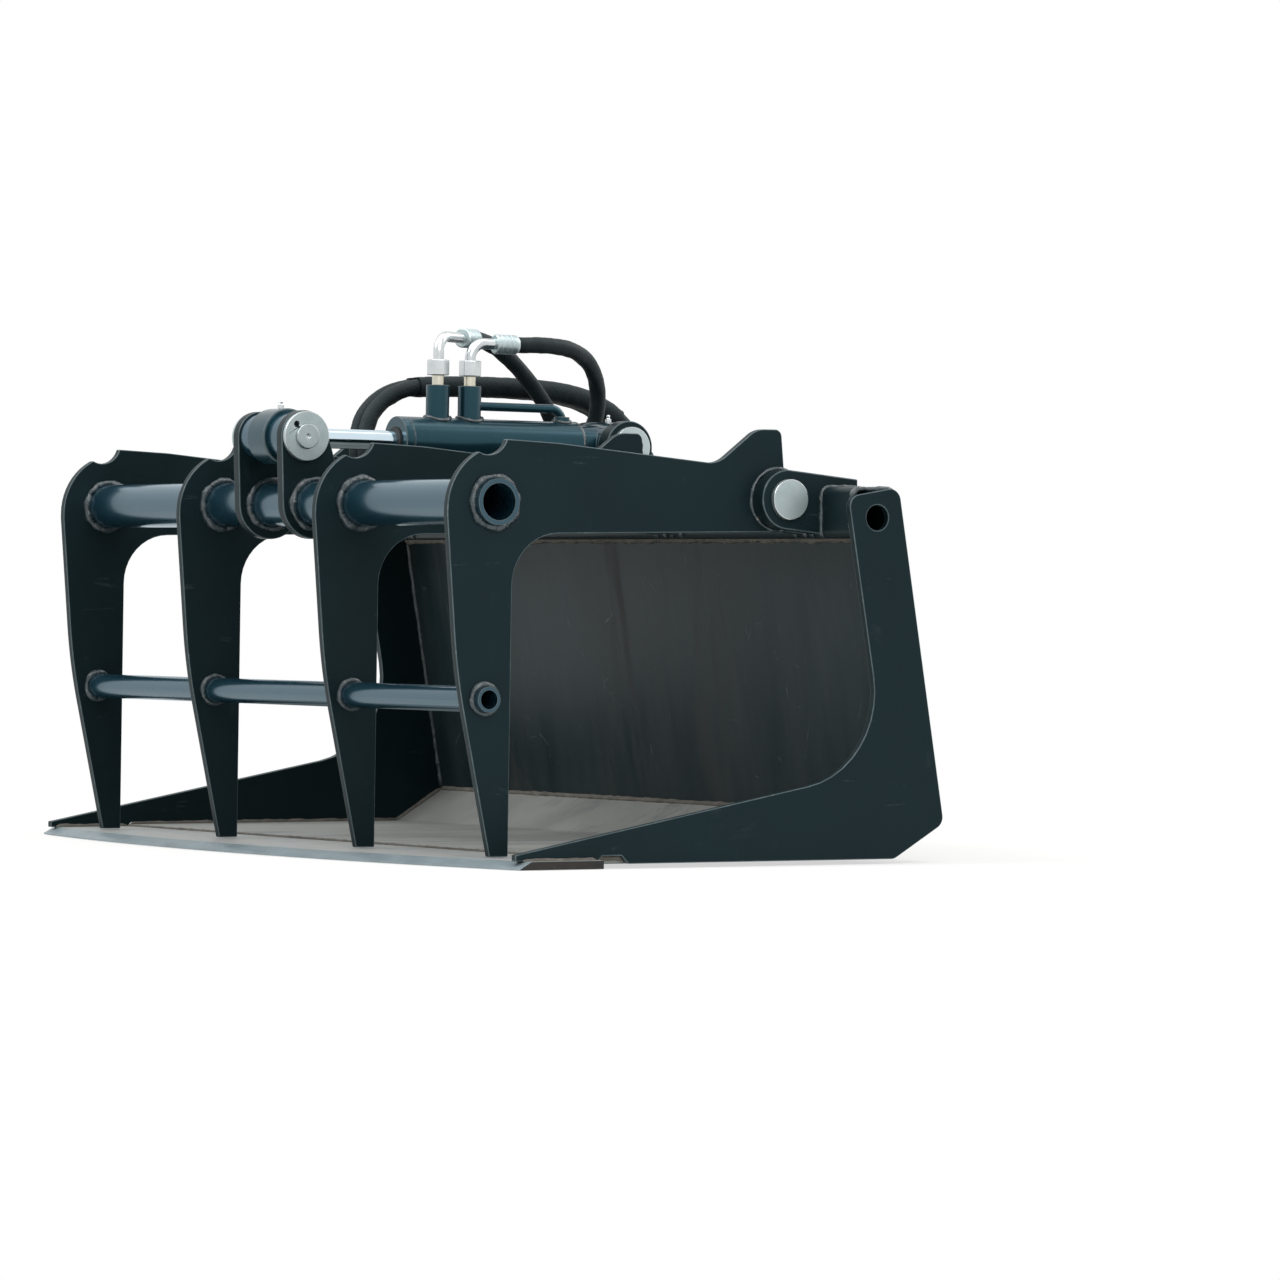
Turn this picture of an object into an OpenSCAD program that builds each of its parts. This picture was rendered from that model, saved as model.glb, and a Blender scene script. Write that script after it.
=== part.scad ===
// Grapple bucket for a compact tracked loader: a low open bucket, a four-tine
// grapple over it, and one hydraulic cylinder that opens and closes the grapple.
// X runs across the bucket, +Y runs from the cutting edge to the back, +Z is up.
// The sizes below are measured from the wing tips (Y = 0) and the ground (Z = 0);
// at_origin() then moves every piece so that the origin is the middle of the base.

/* [Bucket] */
// Width over the side plates
bucket_w = 1010; // [900:10:1200]
// Depth from the wing tips to the foot of the back plate
bucket_depth = 480; // [460:5:540]
// Height of the top of the crossmember
bucket_h = 366; // [350:2:400]
// Thickness of the side plates
side_t = 8; // [6:1:12]
// Thickness of the floor plate
floor_t = 6; // [4:1:8]
// Thickness of the back plate
back_t = 6; // [4:1:8]
// Forward lean of the back plate in degrees
back_lean = 9.3; // [6:0.1:11]
// Rise of the bent heel from the floor to the back plate
heel_rise = 34; // [26:1:44]
// Run of the bent heel
heel_run = 56; // [48:1:70]
// Thickness of the wear strips under the floor
wear_t = 4; // [3:0.5:6]
// Width of a wear strip
wear_w = 60; // [40:5:90]
// Distance from the middle to the outer wear strips
wear_pitch = 300; // [200:10:360]

/* [Cutting edge] */
// Thickness of the cutting edge
edge_t = 8; // [6:1:12]
// How far the edge runs back from the wing tips
edge_depth = 91; // [70:1:110]
// How far the edge stands out past each side plate
edge_side = 10; // [5:1:20]
// How far the middle of the edge is bowed forward
edge_bow = 50; // [30:5:80]
// Length of the bevel
bevel_l = 12; // [8:1:20]
// Height of the blunt nose in front of the bevel
nose_h = 1.2; // [0.5:0.1:3]

/* [Side plates] */
// Height of the wing at its tip
wing_tip_h = 6; // [4:1:12]
// Height of the wing where it meets the upright
wing_h = 76; // [60:1:90]
// Width of the upright
upright_w = 59; // [52:1:66]
// Radius between the upright and the wing
upright_r = 92; // [60:2:110]
// Radius of the top corners of the upright
upright_top_r = 12; // [6:1:18]
// Diameter of the lifting hole
lift_d = 25; // [18:1:30]
// Distance of the lifting hole below the top
lift_drop = 30; // [24:1:40]

/* [Crossmember] */
// Outside size of the square tube
box_size = 50; // [40:1:60]
// Wall of the square tube
box_wall = 4; // [3:0.5:6]
// Outside corner radius of the square tube
box_r = 8; // [6:1:10]

/* [Grapple pivots] */
// How far the pivots lie in front of the crossmember
pivot_ahead = 38; // [34:1:46]
// How far the pivots lie below the top of the crossmember
pivot_drop = 12.5; // [8:0.5:18]
// Diameter of the pivot pins
pivot_d = 30; // [24:1:34]
// Diameter of the head of a pivot pin
pivot_head_d = 40; // [38:1:46]
// Thickness of the head of a pivot pin
pivot_head_t = 6; // [4:1:8]
// Radius of the round end of an ear
ear_r = 29; // [26:1:32]
// Thickness of an ear
ear_t = 18; // [14:1:20]
// Side gap between a tine's bushing and the ears
ear_gap = 0.5; // [0.3:0.1:1]

/* [Tines] */
// Distance from the middle to the inner tines
tine_inner_x = 147.5; // [130:2.5:170]
// Distance from the middle of an outer tine to the side plate
tine_inset = 81; // [73:2:97]
// Plate thickness of a tine
tine_t = 8; // [6:1:10]
// Reach of a tine from its pivot to its front
tine_reach = 367; // [350:1:390]
// Gap between the tine tips and the cutting edge
tip_gap = 1; // [0.5:0.5:5]
// Radius of the round end of a tine at its pivot
tine_end_r = 31.5; // [29:0.5:34]
// Wall of the pivot bushings
bush_wall = 3; // [2:0.5:4]
// How far a bushing stands out past each side of its tine
bush_out = 2; // [1:0.5:4]

/* [Cross tubes] */
// Outside diameter of the upper tube
upper_d = 45; // [40:1:48]
// Wall of the upper tube
upper_wall = 4.8; // [3:0.2:6]
// Outside diameter of the lower tube
lower_d = 25; // [20:1:30]
// Wall of the lower tube
lower_wall = 3.5; // [2:0.5:5]
// How far the tubes stand out past the outer tines
tube_out = 10; // [6:1:16]
// Place of the upper tube behind the front of the tines, as a share of the reach
upper_back_share = 0.1362; // [0.126:0.002:0.150]
// Height of the upper tube above the tips, as a share of the pivot's height above them
upper_up_share = 0.9855; // [0.970:0.005:1]
// Place of the lower tube behind the front of the tines, as a share of the reach
lower_back_share = 0.109; // [0.104:0.001:0.124]
// Height of the lower tube above the tips, as a share of the pivot's height above them
lower_up_share = 0.437; // [0.41:0.01:0.49]

/* [Clevis] */
// Distance of the rod pin in front of the upper tube
rod_pin_ahead = 11; // [6:1:16]
// Height of the rod pin above the upper tube
rod_pin_rise = 67.5; // [60:0.5:76]
// Diameter of the rod pin and the base pin
pin_d = 25; // [20:1:26]
// Thickness of the clevis plates
clevis_t = 12; // [8:1:14]
// Gap between the two clevis plates
clevis_gap = 82; // [76:1:90]
// Radius of the upper end of a clevis plate
clevis_top_r = 26; // [24:1:28]
// Radius of the lower end of a clevis plate
clevis_low_r = 35; // [32:1:38]
// Diameter of the pin washers
washer_d = 50; // [44:1:54]
// Thickness of the pin washers
washer_t = 5; // [3:1:6]
// Diameter of the spacer collars on the rod pin
collar_d = 48; // [42:1:50]

/* [Cylinder lugs] */
// Height of the base pin above the crossmember
lug_rise = 44; // [40:0.5:50]
// Distance of the base pin behind the front of the crossmember
lug_set = 14.5; // [10:0.5:24]
// Gap between the lugs
lug_gap = 54; // [52:1:60]
// Thickness of a lug
lug_t = 18; // [14:1:20]
// Radius of the top of a lug
lug_r = 27; // [25:1:30]
// Diameter of the base pin's washers
base_washer_d = 42; // [38:1:48]
// Thickness of the base pin's washers
base_washer_t = 6; // [4:1:8]

/* [Cylinder] */
// Outside diameter of the barrel
barrel_d = 50; // [48:1:54]
// Wall of the barrel
barrel_wall = 5; // [4:0.5:6]
// Diameter of the piston rod
rod_d = 20; // [16:1:24]
// Distance from the base pin to the near end of the barrel
barrel_start = 41.5; // [38:0.5:48]
// Distance from the base pin to the front face of the gland
barrel_end = 249; // [240:1:256]
// Radius of the base eye
eye_r = 26; // [24:0.5:27]
// Width of the base eye
eye_w = 50; // [40:1:54]
// Radius of the rod eye
rod_eye_r = 28.5; // [27:0.5:30]
// Width of the rod eye
rod_eye_w = 36; // [34:1:54]
// Clearance round the rod pin, where the closed linkage is opened
open_pivot_gap = 4.6; // [4.5:0.1:5.2]
// Thickness of the piston
piston_t = 25; // [18:1:30]

/* [Ports and fittings] */
// Distance from the base pin to the port near the gland
port_front = 201; // [196:1:206]
// Distance between the two ports
port_pitch = 37; // [34:1:42]
// Diameter of the port stubs
stub_d = 24; // [20:1:26]
// Height of the port stubs above the cylinder's axis
stub_h = 58; // [52:1:62]
// Outside diameter of the hard line
line_d = 9; // [8:1:11]
// Height of the hard line above the cylinder's axis
line_h = 38; // [36:1:42]
// Distance from the base pin to the boss of the hard line
line_boss = 55; // [52:1:62]
// Height of the adapters
adapter_h = 10; // [7:1:12]
// Width across the flats of the swivel nuts
nut_af = 20; // [18:1:22]
// Height of the swivel nuts
nut_h = 16; // [12:1:20]
// Outside diameter of the elbows
elbow_d = 11; // [10:1:12]
// Bend radius of the elbows
elbow_r = 16; // [14:1:18]
// Sideways turn of the front elbow in degrees
elbow_turn = 30; // [28:1:36]
// Diameter of the hose ferrules
ferrule_d = 20; // [19:0.5:22]
// Length of the hose ferrules
ferrule_l = 26; // [22:1:34]

/* [Mounting plate] */
// Width of the mounting plate
mount_w = 470; // [420:10:560]
// Thickness of the mounting plate and its lips
mount_t = 8; // [6:1:10]
// Height of the bottom of the mounting plate
mount_z = 62; // [55:1:80]
// Height of the mounting plate
mount_h = 270; // [250:1:280]
// Gap between the foot of the back plate and the mounting plate
mount_back = 8; // [6:1:20]
// Length of the hooked top lip
hook_l = 30; // [26:1:36]
// Depth of the bottom lip
shelf_l = 45; // [38:1:55]
// Length of a latch slot
slot_l = 60; // [40:2:80]
// Width of a latch slot
slot_w = 22; // [18:1:26]
// Distance from the middle of a latch slot to the end of the shelf
slot_inset = 55; // [48:1:80]
// Thickness of the gussets
gusset_t = 8; // [6:1:10]

/* [Hidden] */
$fn = 64;

// Overrun of a cut past a face
over = 1;
// Running clearance between a pin and its bore, on the radius
run = 0.05;
// Steps along a rounded corner of an outline
steps = 10;

// Paint and metal colours
paint = [0.16, 0.20, 0.21];
worn = [0.52, 0.50, 0.47];
zinc = [0.74, 0.75, 0.74];
chrome = [0.84, 0.86, 0.88];
steel = [0.55, 0.56, 0.57];
bronze = [0.62, 0.50, 0.30];
hose_black = [0.08, 0.08, 0.08];
seal_black = [0.12, 0.12, 0.13];

// Bucket, derived
inner_w = bucket_w - 2 * side_t;
half_w = bucket_w / 2;
tine_outer_x = inner_w / 2 - tine_inset;
floor_top = wear_t + floor_t;
back_foot = back_t / cos(back_lean);
// inner corner between the heel and the back plate
heel_y = bucket_depth - back_foot;
heel_z = floor_top + heel_rise;
bend_y = heel_y - heel_run;
heel_angle = atan(heel_rise / heel_run);
// Y of the back plate's inner face and of its rear face at height z
function back_in(z) = heel_y - (z - heel_z) * tan(back_lean);
function back_out(z) = back_in(z) + back_foot;

// Crossmember, derived: its rear face stands against the top of the back plate
box_z = bucket_h - box_size;
back_top = box_z + box_r - 2 * run;
box_y = back_in(back_top) - box_size;

// Pivots: P of the grapple, T of the upper tube, R of the rod pin, B of the base pin
pivot = [box_y - pivot_ahead, bucket_h - pivot_drop];
tine_front = pivot.x - tine_reach;
// Height of the tine tips, and of the pivot above them
tip_z = edge_t + tip_gap;
tine_h = pivot.y - tip_z;
// Corner radii of a tine are shares of the smaller of the two
tine_round = min(tine_reach, tine_h);
// Place on a tine from shares of its reach and of that height
function tine_at(s) = [tine_front + s.x * tine_reach, tip_z + s.y * tine_h];
tube_up = tine_at([upper_back_share, upper_up_share]);
tube_low = tine_at([lower_back_share, lower_up_share]);
rod_at = [tube_up.x - rod_pin_ahead, tube_up.y + rod_pin_rise];
base_at = [box_y + lug_set, bucket_h + lug_rise];

// Cylinder axis: its length between the pins, and its tilt
pin_to_pin = norm(rod_at - base_at);
cylinder_tilt = -atan2(rod_at.y - base_at.y, base_at.x - rod_at.x);
bore_r = barrel_d / 2 - barrel_wall;
gland_flange = 10;
gland_in = 35;
piston_gap = 4;
piston_at = barrel_end - gland_in - piston_gap - piston_t / 2;

// Cutting edge, derived: radius of the bowed front
edge_half = half_w + edge_side;
edge_r = (edge_half * edge_half + edge_bow * edge_bow) / (2 * edge_bow);

// Mounting plate, derived
mount_y = bucket_depth + mount_back;
shelf_end = mount_y + mount_t + shelf_l;
slot_x = mount_w / 2 - slot_inset;

// Middle of the depth from the bowed edge to the end of the shelf
middle_y = (shelf_end - edge_bow) / 2;

// Moves a piece from the drawing's zero to the part's origin
module at_origin() {
    translate([0, -middle_y, 0]) children();
}

// Stands a Y-Z outline up at x, with thickness t towards +X
module plate(x, t) {
    translate([x, 0, 0]) rotate([90, 0, 90]) linear_extrude(t) children();
}

// Round bar along X from x0 to x1, at a Y-Z place
module bar_x(at, d, x0, x1) {
    translate([x0, at.x, at.y]) rotate([0, 90, 0]) cylinder(h = x1 - x0, d = d);
}

// Ring along X
module ring_x(at, d_out, d_in, x0, x1) {
    difference() {
        bar_x(at, d_out, x0, x1);
        bar_x(at, d_in, x0 - over, x1 + over);
    }
}

// Copies a piece to the other side
module both_sides() {
    children();
    mirror([1, 0, 0]) children();
}

// Unit vector, and angle of a 2D vector
function unit(v) = v / norm(v);
function angle(v) = atan2(v.y, v.x);
// Difference of two angles brought into -180 to 180
function turn(a) = a > 180 ? a - 360 : a < -180 ? a + 360 : a;
// Points of an arc
function arc(c, r, a0, a1, n = steps) =
    [for (i = [0:n]) let (a = a0 + (a1 - a0) * i / n) c + r * [cos(a), sin(a)]];
// A corner at b between a and c, rounded with radius r
function corner(a, b, c, r) =
    r <= 0 ? [b] :
    let (u = unit(a - b), v = unit(c - b), half = acos(u * v) / 2,
        p = b + u * r / tan(half), q = b + v * r / tan(half),
        o = b + unit(u + v) * r / sin(half),
        a0 = angle(p - o), d = turn(angle(q - o) - a0))
    arc(o, r, a0, a0 + d);
// An outline from corners given as [y, z, radius]
function rounded(pts) = let (n = len(pts)) [for (i = [0:n - 1])
    let (a = pts[(i + n - 1) % n], b = pts[i], c = pts[(i + 1) % n])
    each corner([a.x, a.y], [b.x, b.y], [c.x, c.y], b.z)];

// Arc points written as corners without rounding
function arc_corners(c, r, a0, a1, n = 24) = [for (p = arc(c, r, a0, a1, n)) [p.x, p.y, 0]];

// Floor: a flat sheet, bent up at the heel and cut where it meets the back plate's rear face
module floor_outline() {
    k = 1 / (1 + tan(heel_angle) * tan(back_lean));
    top_end = [heel_y + back_foot * k, heel_z + back_foot * k * tan(heel_angle)];
    drop = floor_t / (cos(heel_angle) * (1 + tan(heel_angle) * tan(back_lean)));
    low_end = top_end + drop * [tan(back_lean), -1];
    bend_low = bend_y + floor_t * tan(heel_angle / 2);
    polygon(rounded([
        [edge_depth, floor_top, 0],
        [bend_y, floor_top, 2 * floor_t],
        [top_end.x, top_end.y, 0],
        [low_end.x, low_end.y, 0],
        [bend_low, wear_t, 3 * floor_t],
        [edge_depth, wear_t, 0]]));
}

module floor_plate() {
    color(worn) at_origin() plate(-inner_w / 2, inner_w) floor_outline();
}

// Back plate: stands on the heel and leans forward to the crossmember
module back_plate() {
    k = 1 / (1 + tan(heel_angle) * tan(back_lean));
    foot = [heel_y + back_foot * k, heel_z + back_foot * k * tan(heel_angle)];
    color(paint) at_origin() plate(-inner_w / 2, inner_w) polygon([
        [heel_y, heel_z], foot, [back_out(back_top), back_top], [back_in(back_top), back_top]]);
}

// Side plate: an upright along the back, and a low wing that runs out to a tip
notch_rise = 4;
notch_l = 33;
tip_round = 1;
module side_outline() {
    top_z = bucket_h;
    rear_top = [back_out(top_z), top_z];
    front_top = rear_top - upright_w * [cos(back_lean), sin(back_lean)];
    // foot of the upright's front edge, where the wing would meet it unrounded
    wing_slope = (wing_h - wing_tip_h) / (rear_top.x - upright_w);
    foot_y = back_out(edge_t + wing_h) - upright_w / cos(back_lean);
    chamfer_y = bend_y + floor_t;
    // lowest point of the rear edge, above the chamfer that follows the heel
    rear_low = wear_t + heel_rise;
    polygon(rounded([
        [0, edge_t, 0],
        [0, edge_t + wing_tip_h, tip_round],
        [foot_y, edge_t + wing_tip_h + foot_y * wing_slope, upright_r],
        [front_top.x, front_top.y, upright_top_r],
        [rear_top.x, rear_top.y, upright_top_r],
        [back_out(rear_low), rear_low, upright_top_r],
        [chamfer_y, wear_t, upright_top_r],
        [edge_depth + notch_l, wear_t, 0],
        [edge_depth + notch_l - 2 * notch_rise, edge_t + notch_rise, 0],
        [edge_depth + notch_rise, edge_t + notch_rise, 0],
        [edge_depth, edge_t, 0]]));
}

lift_at = [back_out(bucket_h - lift_drop) - upright_w / (2 * cos(back_lean)), bucket_h - lift_drop];
module side_plate(x) {
    color(paint) at_origin() difference() {
        plate(x, side_t) side_outline();
        bar_x(lift_at, lift_d, x - over, x + side_t + over);
    }
}
module side_plate_left() { side_plate(half_w - side_t); }
module side_plate_right() { side_plate(-half_w); }

// Cutting edge: a ring segment with a bevelled front, cut straight behind
module cutting_edge() {
    color(worn) at_origin() intersection() {
        translate([0, edge_r - edge_bow, 0]) rotate_extrude($fn = 720) polygon([
            [edge_r - 2 * edge_depth - edge_bow, 0], [edge_r, 0], [edge_r, nose_h],
            [edge_r - bevel_l, edge_t], [edge_r - 2 * edge_depth - edge_bow, edge_t]]);
        translate([-edge_half, -edge_bow - over, -over])
            cube([2 * edge_half, edge_depth + edge_bow + over, edge_t + 2 * over]);
    }
}

// Wear strips under the floor
module wear_strips() {
    strip_start = edge_depth + wear_t;
    strip_l = bend_y - strip_start - wear_t;
    color(paint) at_origin() for (x = [-wear_pitch, 0, wear_pitch])
        translate([x - wear_w / 2, strip_start, 0]) cube([wear_w, strip_l, wear_t]);
}

// Crossmember: a square tube with rounded corners
module box_outline() {
    polygon(rounded([
        [box_y, box_z, box_r], [box_y, bucket_h, box_r],
        [box_y + box_size, bucket_h, box_r], [box_y + box_size, box_z, box_r]]));
}
module box_hollow() {
    in_r = box_r - box_wall;
    polygon(rounded([
        [box_y + box_wall, box_z + box_wall, in_r],
        [box_y + box_wall, bucket_h - box_wall, in_r],
        [box_y + box_size - box_wall, bucket_h - box_wall, in_r],
        [box_y + box_size - box_wall, box_z + box_wall, in_r]]));
}
module crossmember() {
    color(paint) at_origin() difference() {
        plate(-inner_w / 2, inner_w) box_outline();
        plate(-inner_w / 2 - over, inner_w + 2 * over) box_hollow();
    }
}

// Ears: a pair for each tine, fitted round the crossmember
TINES = [-tine_outer_x, -tine_inner_x, tine_inner_x, tine_outer_x];
bush_half = tine_t / 2 + bush_out;
ear_in = bush_half + ear_gap;
ear_out = ear_in + ear_t;
ear_cover = 8;
module ear_outline() {
    difference() {
        polygon(concat(arc(pivot, ear_r, 88, 262, 32), [
            [box_y, box_z + ear_cover / 2],
            [box_y + ear_cover, box_z + ear_cover],
            [box_y + box_size - ear_cover, box_z + ear_cover],
            [box_y + box_size - ear_cover, bucket_h + ear_cover]]));
        box_outline();
    }
}
module pivot_ears() {
    color(paint) at_origin() for (x = TINES, s = [0, 1]) mirror([s, 0, 0])
        let (ex = s == 0 ? x : -x) difference() {
            plate(ex + ear_in, ear_t) ear_outline();
            bar_x(pivot, pivot_d, ex + ear_in - over, ex + ear_out + over);
        }
}

// Pivot pins: headed on the outside, ringed on the inside
ring_set = 4;
ring_t = 2;
ring_deep = 1.5;
pin_tail = 8;
function outside(x) = x > 0 ? 1 : -1;
module pivot_pins() {
    color(zinc) at_origin() for (x = TINES) scale([outside(x), 1, 1]) translate([abs(x), 0, 0])
        difference() {
            union() {
                bar_x(pivot, pivot_d, -ear_out - pin_tail, ear_out + over);
                bar_x(pivot, pivot_head_d, ear_out, ear_out + pivot_head_t);
            }
            ring_x(pivot, pivot_d + 2 * over, pivot_d - 2 * ring_deep,
                -ear_out - ring_set, -ear_out - ring_set + ring_t);
        }
}

// Retaining rings, seated in the pins' grooves
ring_rim = 4;
module pivot_rings() {
    color(steel) at_origin() for (x = TINES) scale([outside(x), 1, 1]) translate([abs(x), 0, 0])
        ring_x(pivot, pivot_d + 2 * ring_rim, pivot_d - 2 * ring_deep,
            -ear_out - ring_set, -ear_out - ring_set + ring_t);
}

// Cylinder lugs: two plates on the crossmember
lug_half = lug_gap / 2;
lug_end = lug_half + lug_t;
module lug_outline() {
    difference() {
        polygon(concat(arc(base_at, lug_r, -10, 174, 32), [
            [box_y, bucket_h - box_wall],
            [box_y + box_size - box_wall, bucket_h - box_wall]]));
        box_outline();
    }
}
module cylinder_lugs() {
    color(paint) at_origin() both_sides() difference() {
        plate(lug_half, lug_t) lug_outline();
        bar_x(base_at, pin_d, lug_half - over, lug_end + over);
    }
}

// Base pin, its washers and its ring
module pin_with_groove(at, half) {
    difference() {
        bar_x(at, pin_d, -half - ring_set - ring_t, half - over);
        ring_x(at, pin_d + 2 * over, pin_d - 2 * ring_deep, -half - ring_t, -half);
    }
}
module base_pin() {
    color(zinc) at_origin() pin_with_groove(base_at, lug_end + base_washer_t);
}
module pin_washers(at, half, d, t) {
    both_sides() ring_x(at, d, pin_d, half, half + t);
}
module base_pin_washers() {
    color(zinc) at_origin() pin_washers(base_at, lug_end, base_washer_d, base_washer_t);
}
module base_pin_ring() {
    half = lug_end + base_washer_t;
    color(steel) at_origin()
        ring_x(base_at, pin_d + 2 * ring_rim, pin_d - 2 * ring_deep, -half - ring_t, -half);
}

// Mounting plate behind the bucket, with a hook above and a slotted shelf below
module mount_plate() {
    color(paint) at_origin() translate([-mount_w / 2, mount_y, mount_z])
        cube([mount_w, mount_t, mount_h]);
}
// The hook is the plate's top edge carried on, then bent back and down
hook_angle = 45;
hook_rise = 10;
hook_bend_r = 3;
module mount_hook() {
    root = mount_z + mount_h;
    bend = [mount_y + mount_t, root + hook_rise];
    tip = bend + hook_l * [cos(hook_angle), -sin(hook_angle)];
    skin = mount_t * [sin(hook_angle), cos(hook_angle)];
    crest = bend.y + skin.y + (mount_t + skin.x) * tan(hook_angle);
    color(paint) at_origin() plate(-mount_w / 2, mount_w) polygon(rounded([
        [mount_y, root, 0], [mount_y, crest, hook_bend_r + mount_t],
        [tip.x + skin.x, tip.y + skin.y, 0], [tip.x, tip.y, 0],
        [bend.x, bend.y, hook_bend_r], [bend.x, root, 0]]));
}
module mount_shelf() {
    low = mount_z - mount_t;
    color(paint) at_origin() difference() {
        translate([-mount_w / 2, mount_y, low]) cube([mount_w, mount_t + shelf_l, mount_t]);
        for (s = [-1, 1]) translate([s * slot_x, mount_y + mount_t + shelf_l / 2, low])
            latch_slot();
    }
}
module latch_slot() {
    run_half = (slot_l - slot_w) / 2;
    for (s = [-1, 1]) translate([s * run_half, 0, -over])
        cylinder(h = mount_t + 2 * over, d = slot_w);
    translate([-run_half, -slot_w / 2, -over])
        cube([2 * run_half, slot_w, mount_t + 2 * over]);
}
gusset_x_shares = [-0.96, -0.36, 0.36, 0.96];
module mount_gussets() {
    low = mount_z + mount_t;
    high = back_top;
    color(paint) at_origin() for (share = gusset_x_shares)
        plate(share * mount_w / 2 - gusset_t / 2, gusset_t) polygon([
            [back_out(low), low], [mount_y, low], [mount_y, high], [back_out(high), high]]);
}

// Tine outline, as shares of the reach behind the front (y) and of the pivot's
// height above the tip (z), with corner radii as shares of the smaller of the two
// From the notch at the top front, over the arm and its hump
arm_shares = [[0.170, 1.160, 0.011], [0.330, 1.151, 0.320], [0.814, 1.100, 0.085],
    [0.935, 1.199, 0.075], [1.012, 1.199, 0.021]];
// Where the hump runs down into the round end
hump_angle = 76;
// Corner where the arm's underside meets the back of the leg
crotch_share = [0.192, 0.897, 0.149];
// Tip of the leg
tip_rear_share = 0.182;
tip_front_share = 0.126;
// Front of the leg, from the tip to the top; the longer and the narrower the leg,
// the flatter its bow
bow_share = 1.816 * tine_h / tine_reach;
front_shares = [[0.027, 0.508, bow_share], [-0.003, 0.946, 0.0], [-0.003, 1.070, 0.181]];
// Where the round top front ends, and the scoop behind it
nose_share = [0.087, 1.122];
scoop_share = [0.119, 1.177, 0.061];
function tine_corner(s) = [each tine_at(s), s.z * tine_round];

module tine_outline() {
    difference() {
        polygon(rounded(concat(
            [tine_corner([nose_share.x, nose_share.y, 0])],
            [for (s = arm_shares) tine_corner(s)],
            arc_corners(pivot, tine_end_r, hump_angle, -90),
            [tine_corner(crotch_share)],
            [[tine_front + tip_rear_share * tine_reach, tip_z, 0],
            [tine_front + tip_front_share * tine_reach, tip_z, 0]],
            [for (s = front_shares) tine_corner(s)])));
        translate(tine_at(scoop_share)) circle(r = scoop_share.z * tine_round);
    }
}

bush_d = pivot_d + 2 * run + 2 * bush_wall;
module tine(x) {
    color(paint) at_origin() difference() {
        plate(x - tine_t / 2, tine_t) tine_outline();
        bar_x(pivot, bush_d, x - tine_t / 2 - over, x + tine_t / 2 + over);
        bar_x(tube_up, upper_d, x - tine_t / 2 - over, x + tine_t / 2 + over);
        bar_x(tube_low, lower_d, x - tine_t / 2 - over, x + tine_t / 2 + over);
    }
}
module tine_1() { tine(TINES[0]); }
module tine_2() { tine(TINES[1]); }
module tine_3() { tine(TINES[2]); }
module tine_4() { tine(TINES[3]); }

module pivot_bushings() {
    color(bronze) at_origin() for (x = TINES)
        ring_x(pivot, bush_d, pivot_d + 2 * run, x - bush_half, x + bush_half);
}

// Cross tubes through the four tines
tube_half = tine_outer_x + tine_t / 2 + tube_out;
module upper_tube() {
    color(paint) at_origin()
        ring_x(tube_up, upper_d, upper_d - 2 * upper_wall, -tube_half, tube_half);
}
module lower_tube() {
    color(paint) at_origin()
        ring_x(tube_low, lower_d, lower_d - 2 * lower_wall, -tube_half, tube_half);
}

// Clevis plates round the upper tube
clevis_half = clevis_gap / 2;
clevis_end = clevis_half + clevis_t;
module clevis_outline() {
    up = rod_at - tube_up;
    len = norm(up);
    side = asin((clevis_low_r - clevis_top_r) / len);
    lean = angle(up);
    a = lean + 90 - side;
    b = lean - 90 + side;
    polygon(concat(
        arc(rod_at, clevis_top_r, b, a, 32),
        arc(tube_up, clevis_low_r, a, b + 360, 40)));
}
module clevis_plates() {
    color(paint) at_origin() both_sides() difference() {
        plate(clevis_half, clevis_t) clevis_outline();
        bar_x(rod_at, pin_d, clevis_half - over, clevis_end + over);
        bar_x(tube_up, upper_d, clevis_half - over, clevis_end + over);
    }
}

// Rod pin, washers, ring and collars
lock_hole_d = 6;
lock_angle = 45;
dimple_d = 4;
pin_proud = 3;
module rod_pin() {
    half = clevis_end + washer_t;
    color(zinc) at_origin() difference() {
        union() {
            pin_with_groove(rod_at, half);
            bar_x(rod_at, pin_d, half - 2 * over, half + pin_proud);
        }
        translate([half + pin_proud, rod_at.x, rod_at.y]) rotate([0, -90, 0])
            translate([0, 0, -over]) cylinder(h = dimple_d / 2 + over, d = dimple_d);
    }
}
module rod_pin_washers() {
    lock_at = rod_at + (pin_d / 2 + dimple_d) * [-cos(lock_angle), sin(lock_angle)];
    color(zinc) at_origin() difference() {
        pin_washers(rod_at, clevis_end, washer_d, washer_t);
        bar_x(lock_at, lock_hole_d, clevis_end - over, clevis_end + washer_t + over);
    }
}
module rod_pin_ring() {
    half = clevis_end + washer_t;
    color(steel) at_origin()
        ring_x(rod_at, pin_d + 2 * ring_rim, pin_d - 2 * ring_deep, -half - ring_t, -half);
}
module rod_pin_collars() {
    color(paint) at_origin() both_sides()
        ring_x(rod_at, collar_d, pin_d, rod_eye_w / 2 + ear_gap, clevis_half);
}

// Cylinder frame: u is the distance from the base pin towards the rod pin
module on_cylinder() {
    at_origin() translate([0, base_at.x, base_at.y]) rotate([cylinder_tilt, 0, 0]) children();
}
// Round piece along the cylinder's axis from u0 to u1
module bar_u(d, u0, u1) {
    translate([0, -u0, 0]) rotate([90, 0, 0]) cylinder(h = u1 - u0, d = d);
}
// Stands children up on the barrel at distance u
module upright(u) {
    translate([0, -u, 0]) children();
}

module barrel_tube() {
    color(paint) on_cylinder() difference() {
        bar_u(barrel_d, barrel_start, barrel_end - gland_flange);
        bar_u(2 * bore_r, barrel_start - over, barrel_end);
        upright(port_front) cylinder(h = barrel_d, d = oil_d);
        upright(line_boss) cylinder(h = barrel_d, d = oil_d);
    }
}
oil_d = 6;

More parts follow.
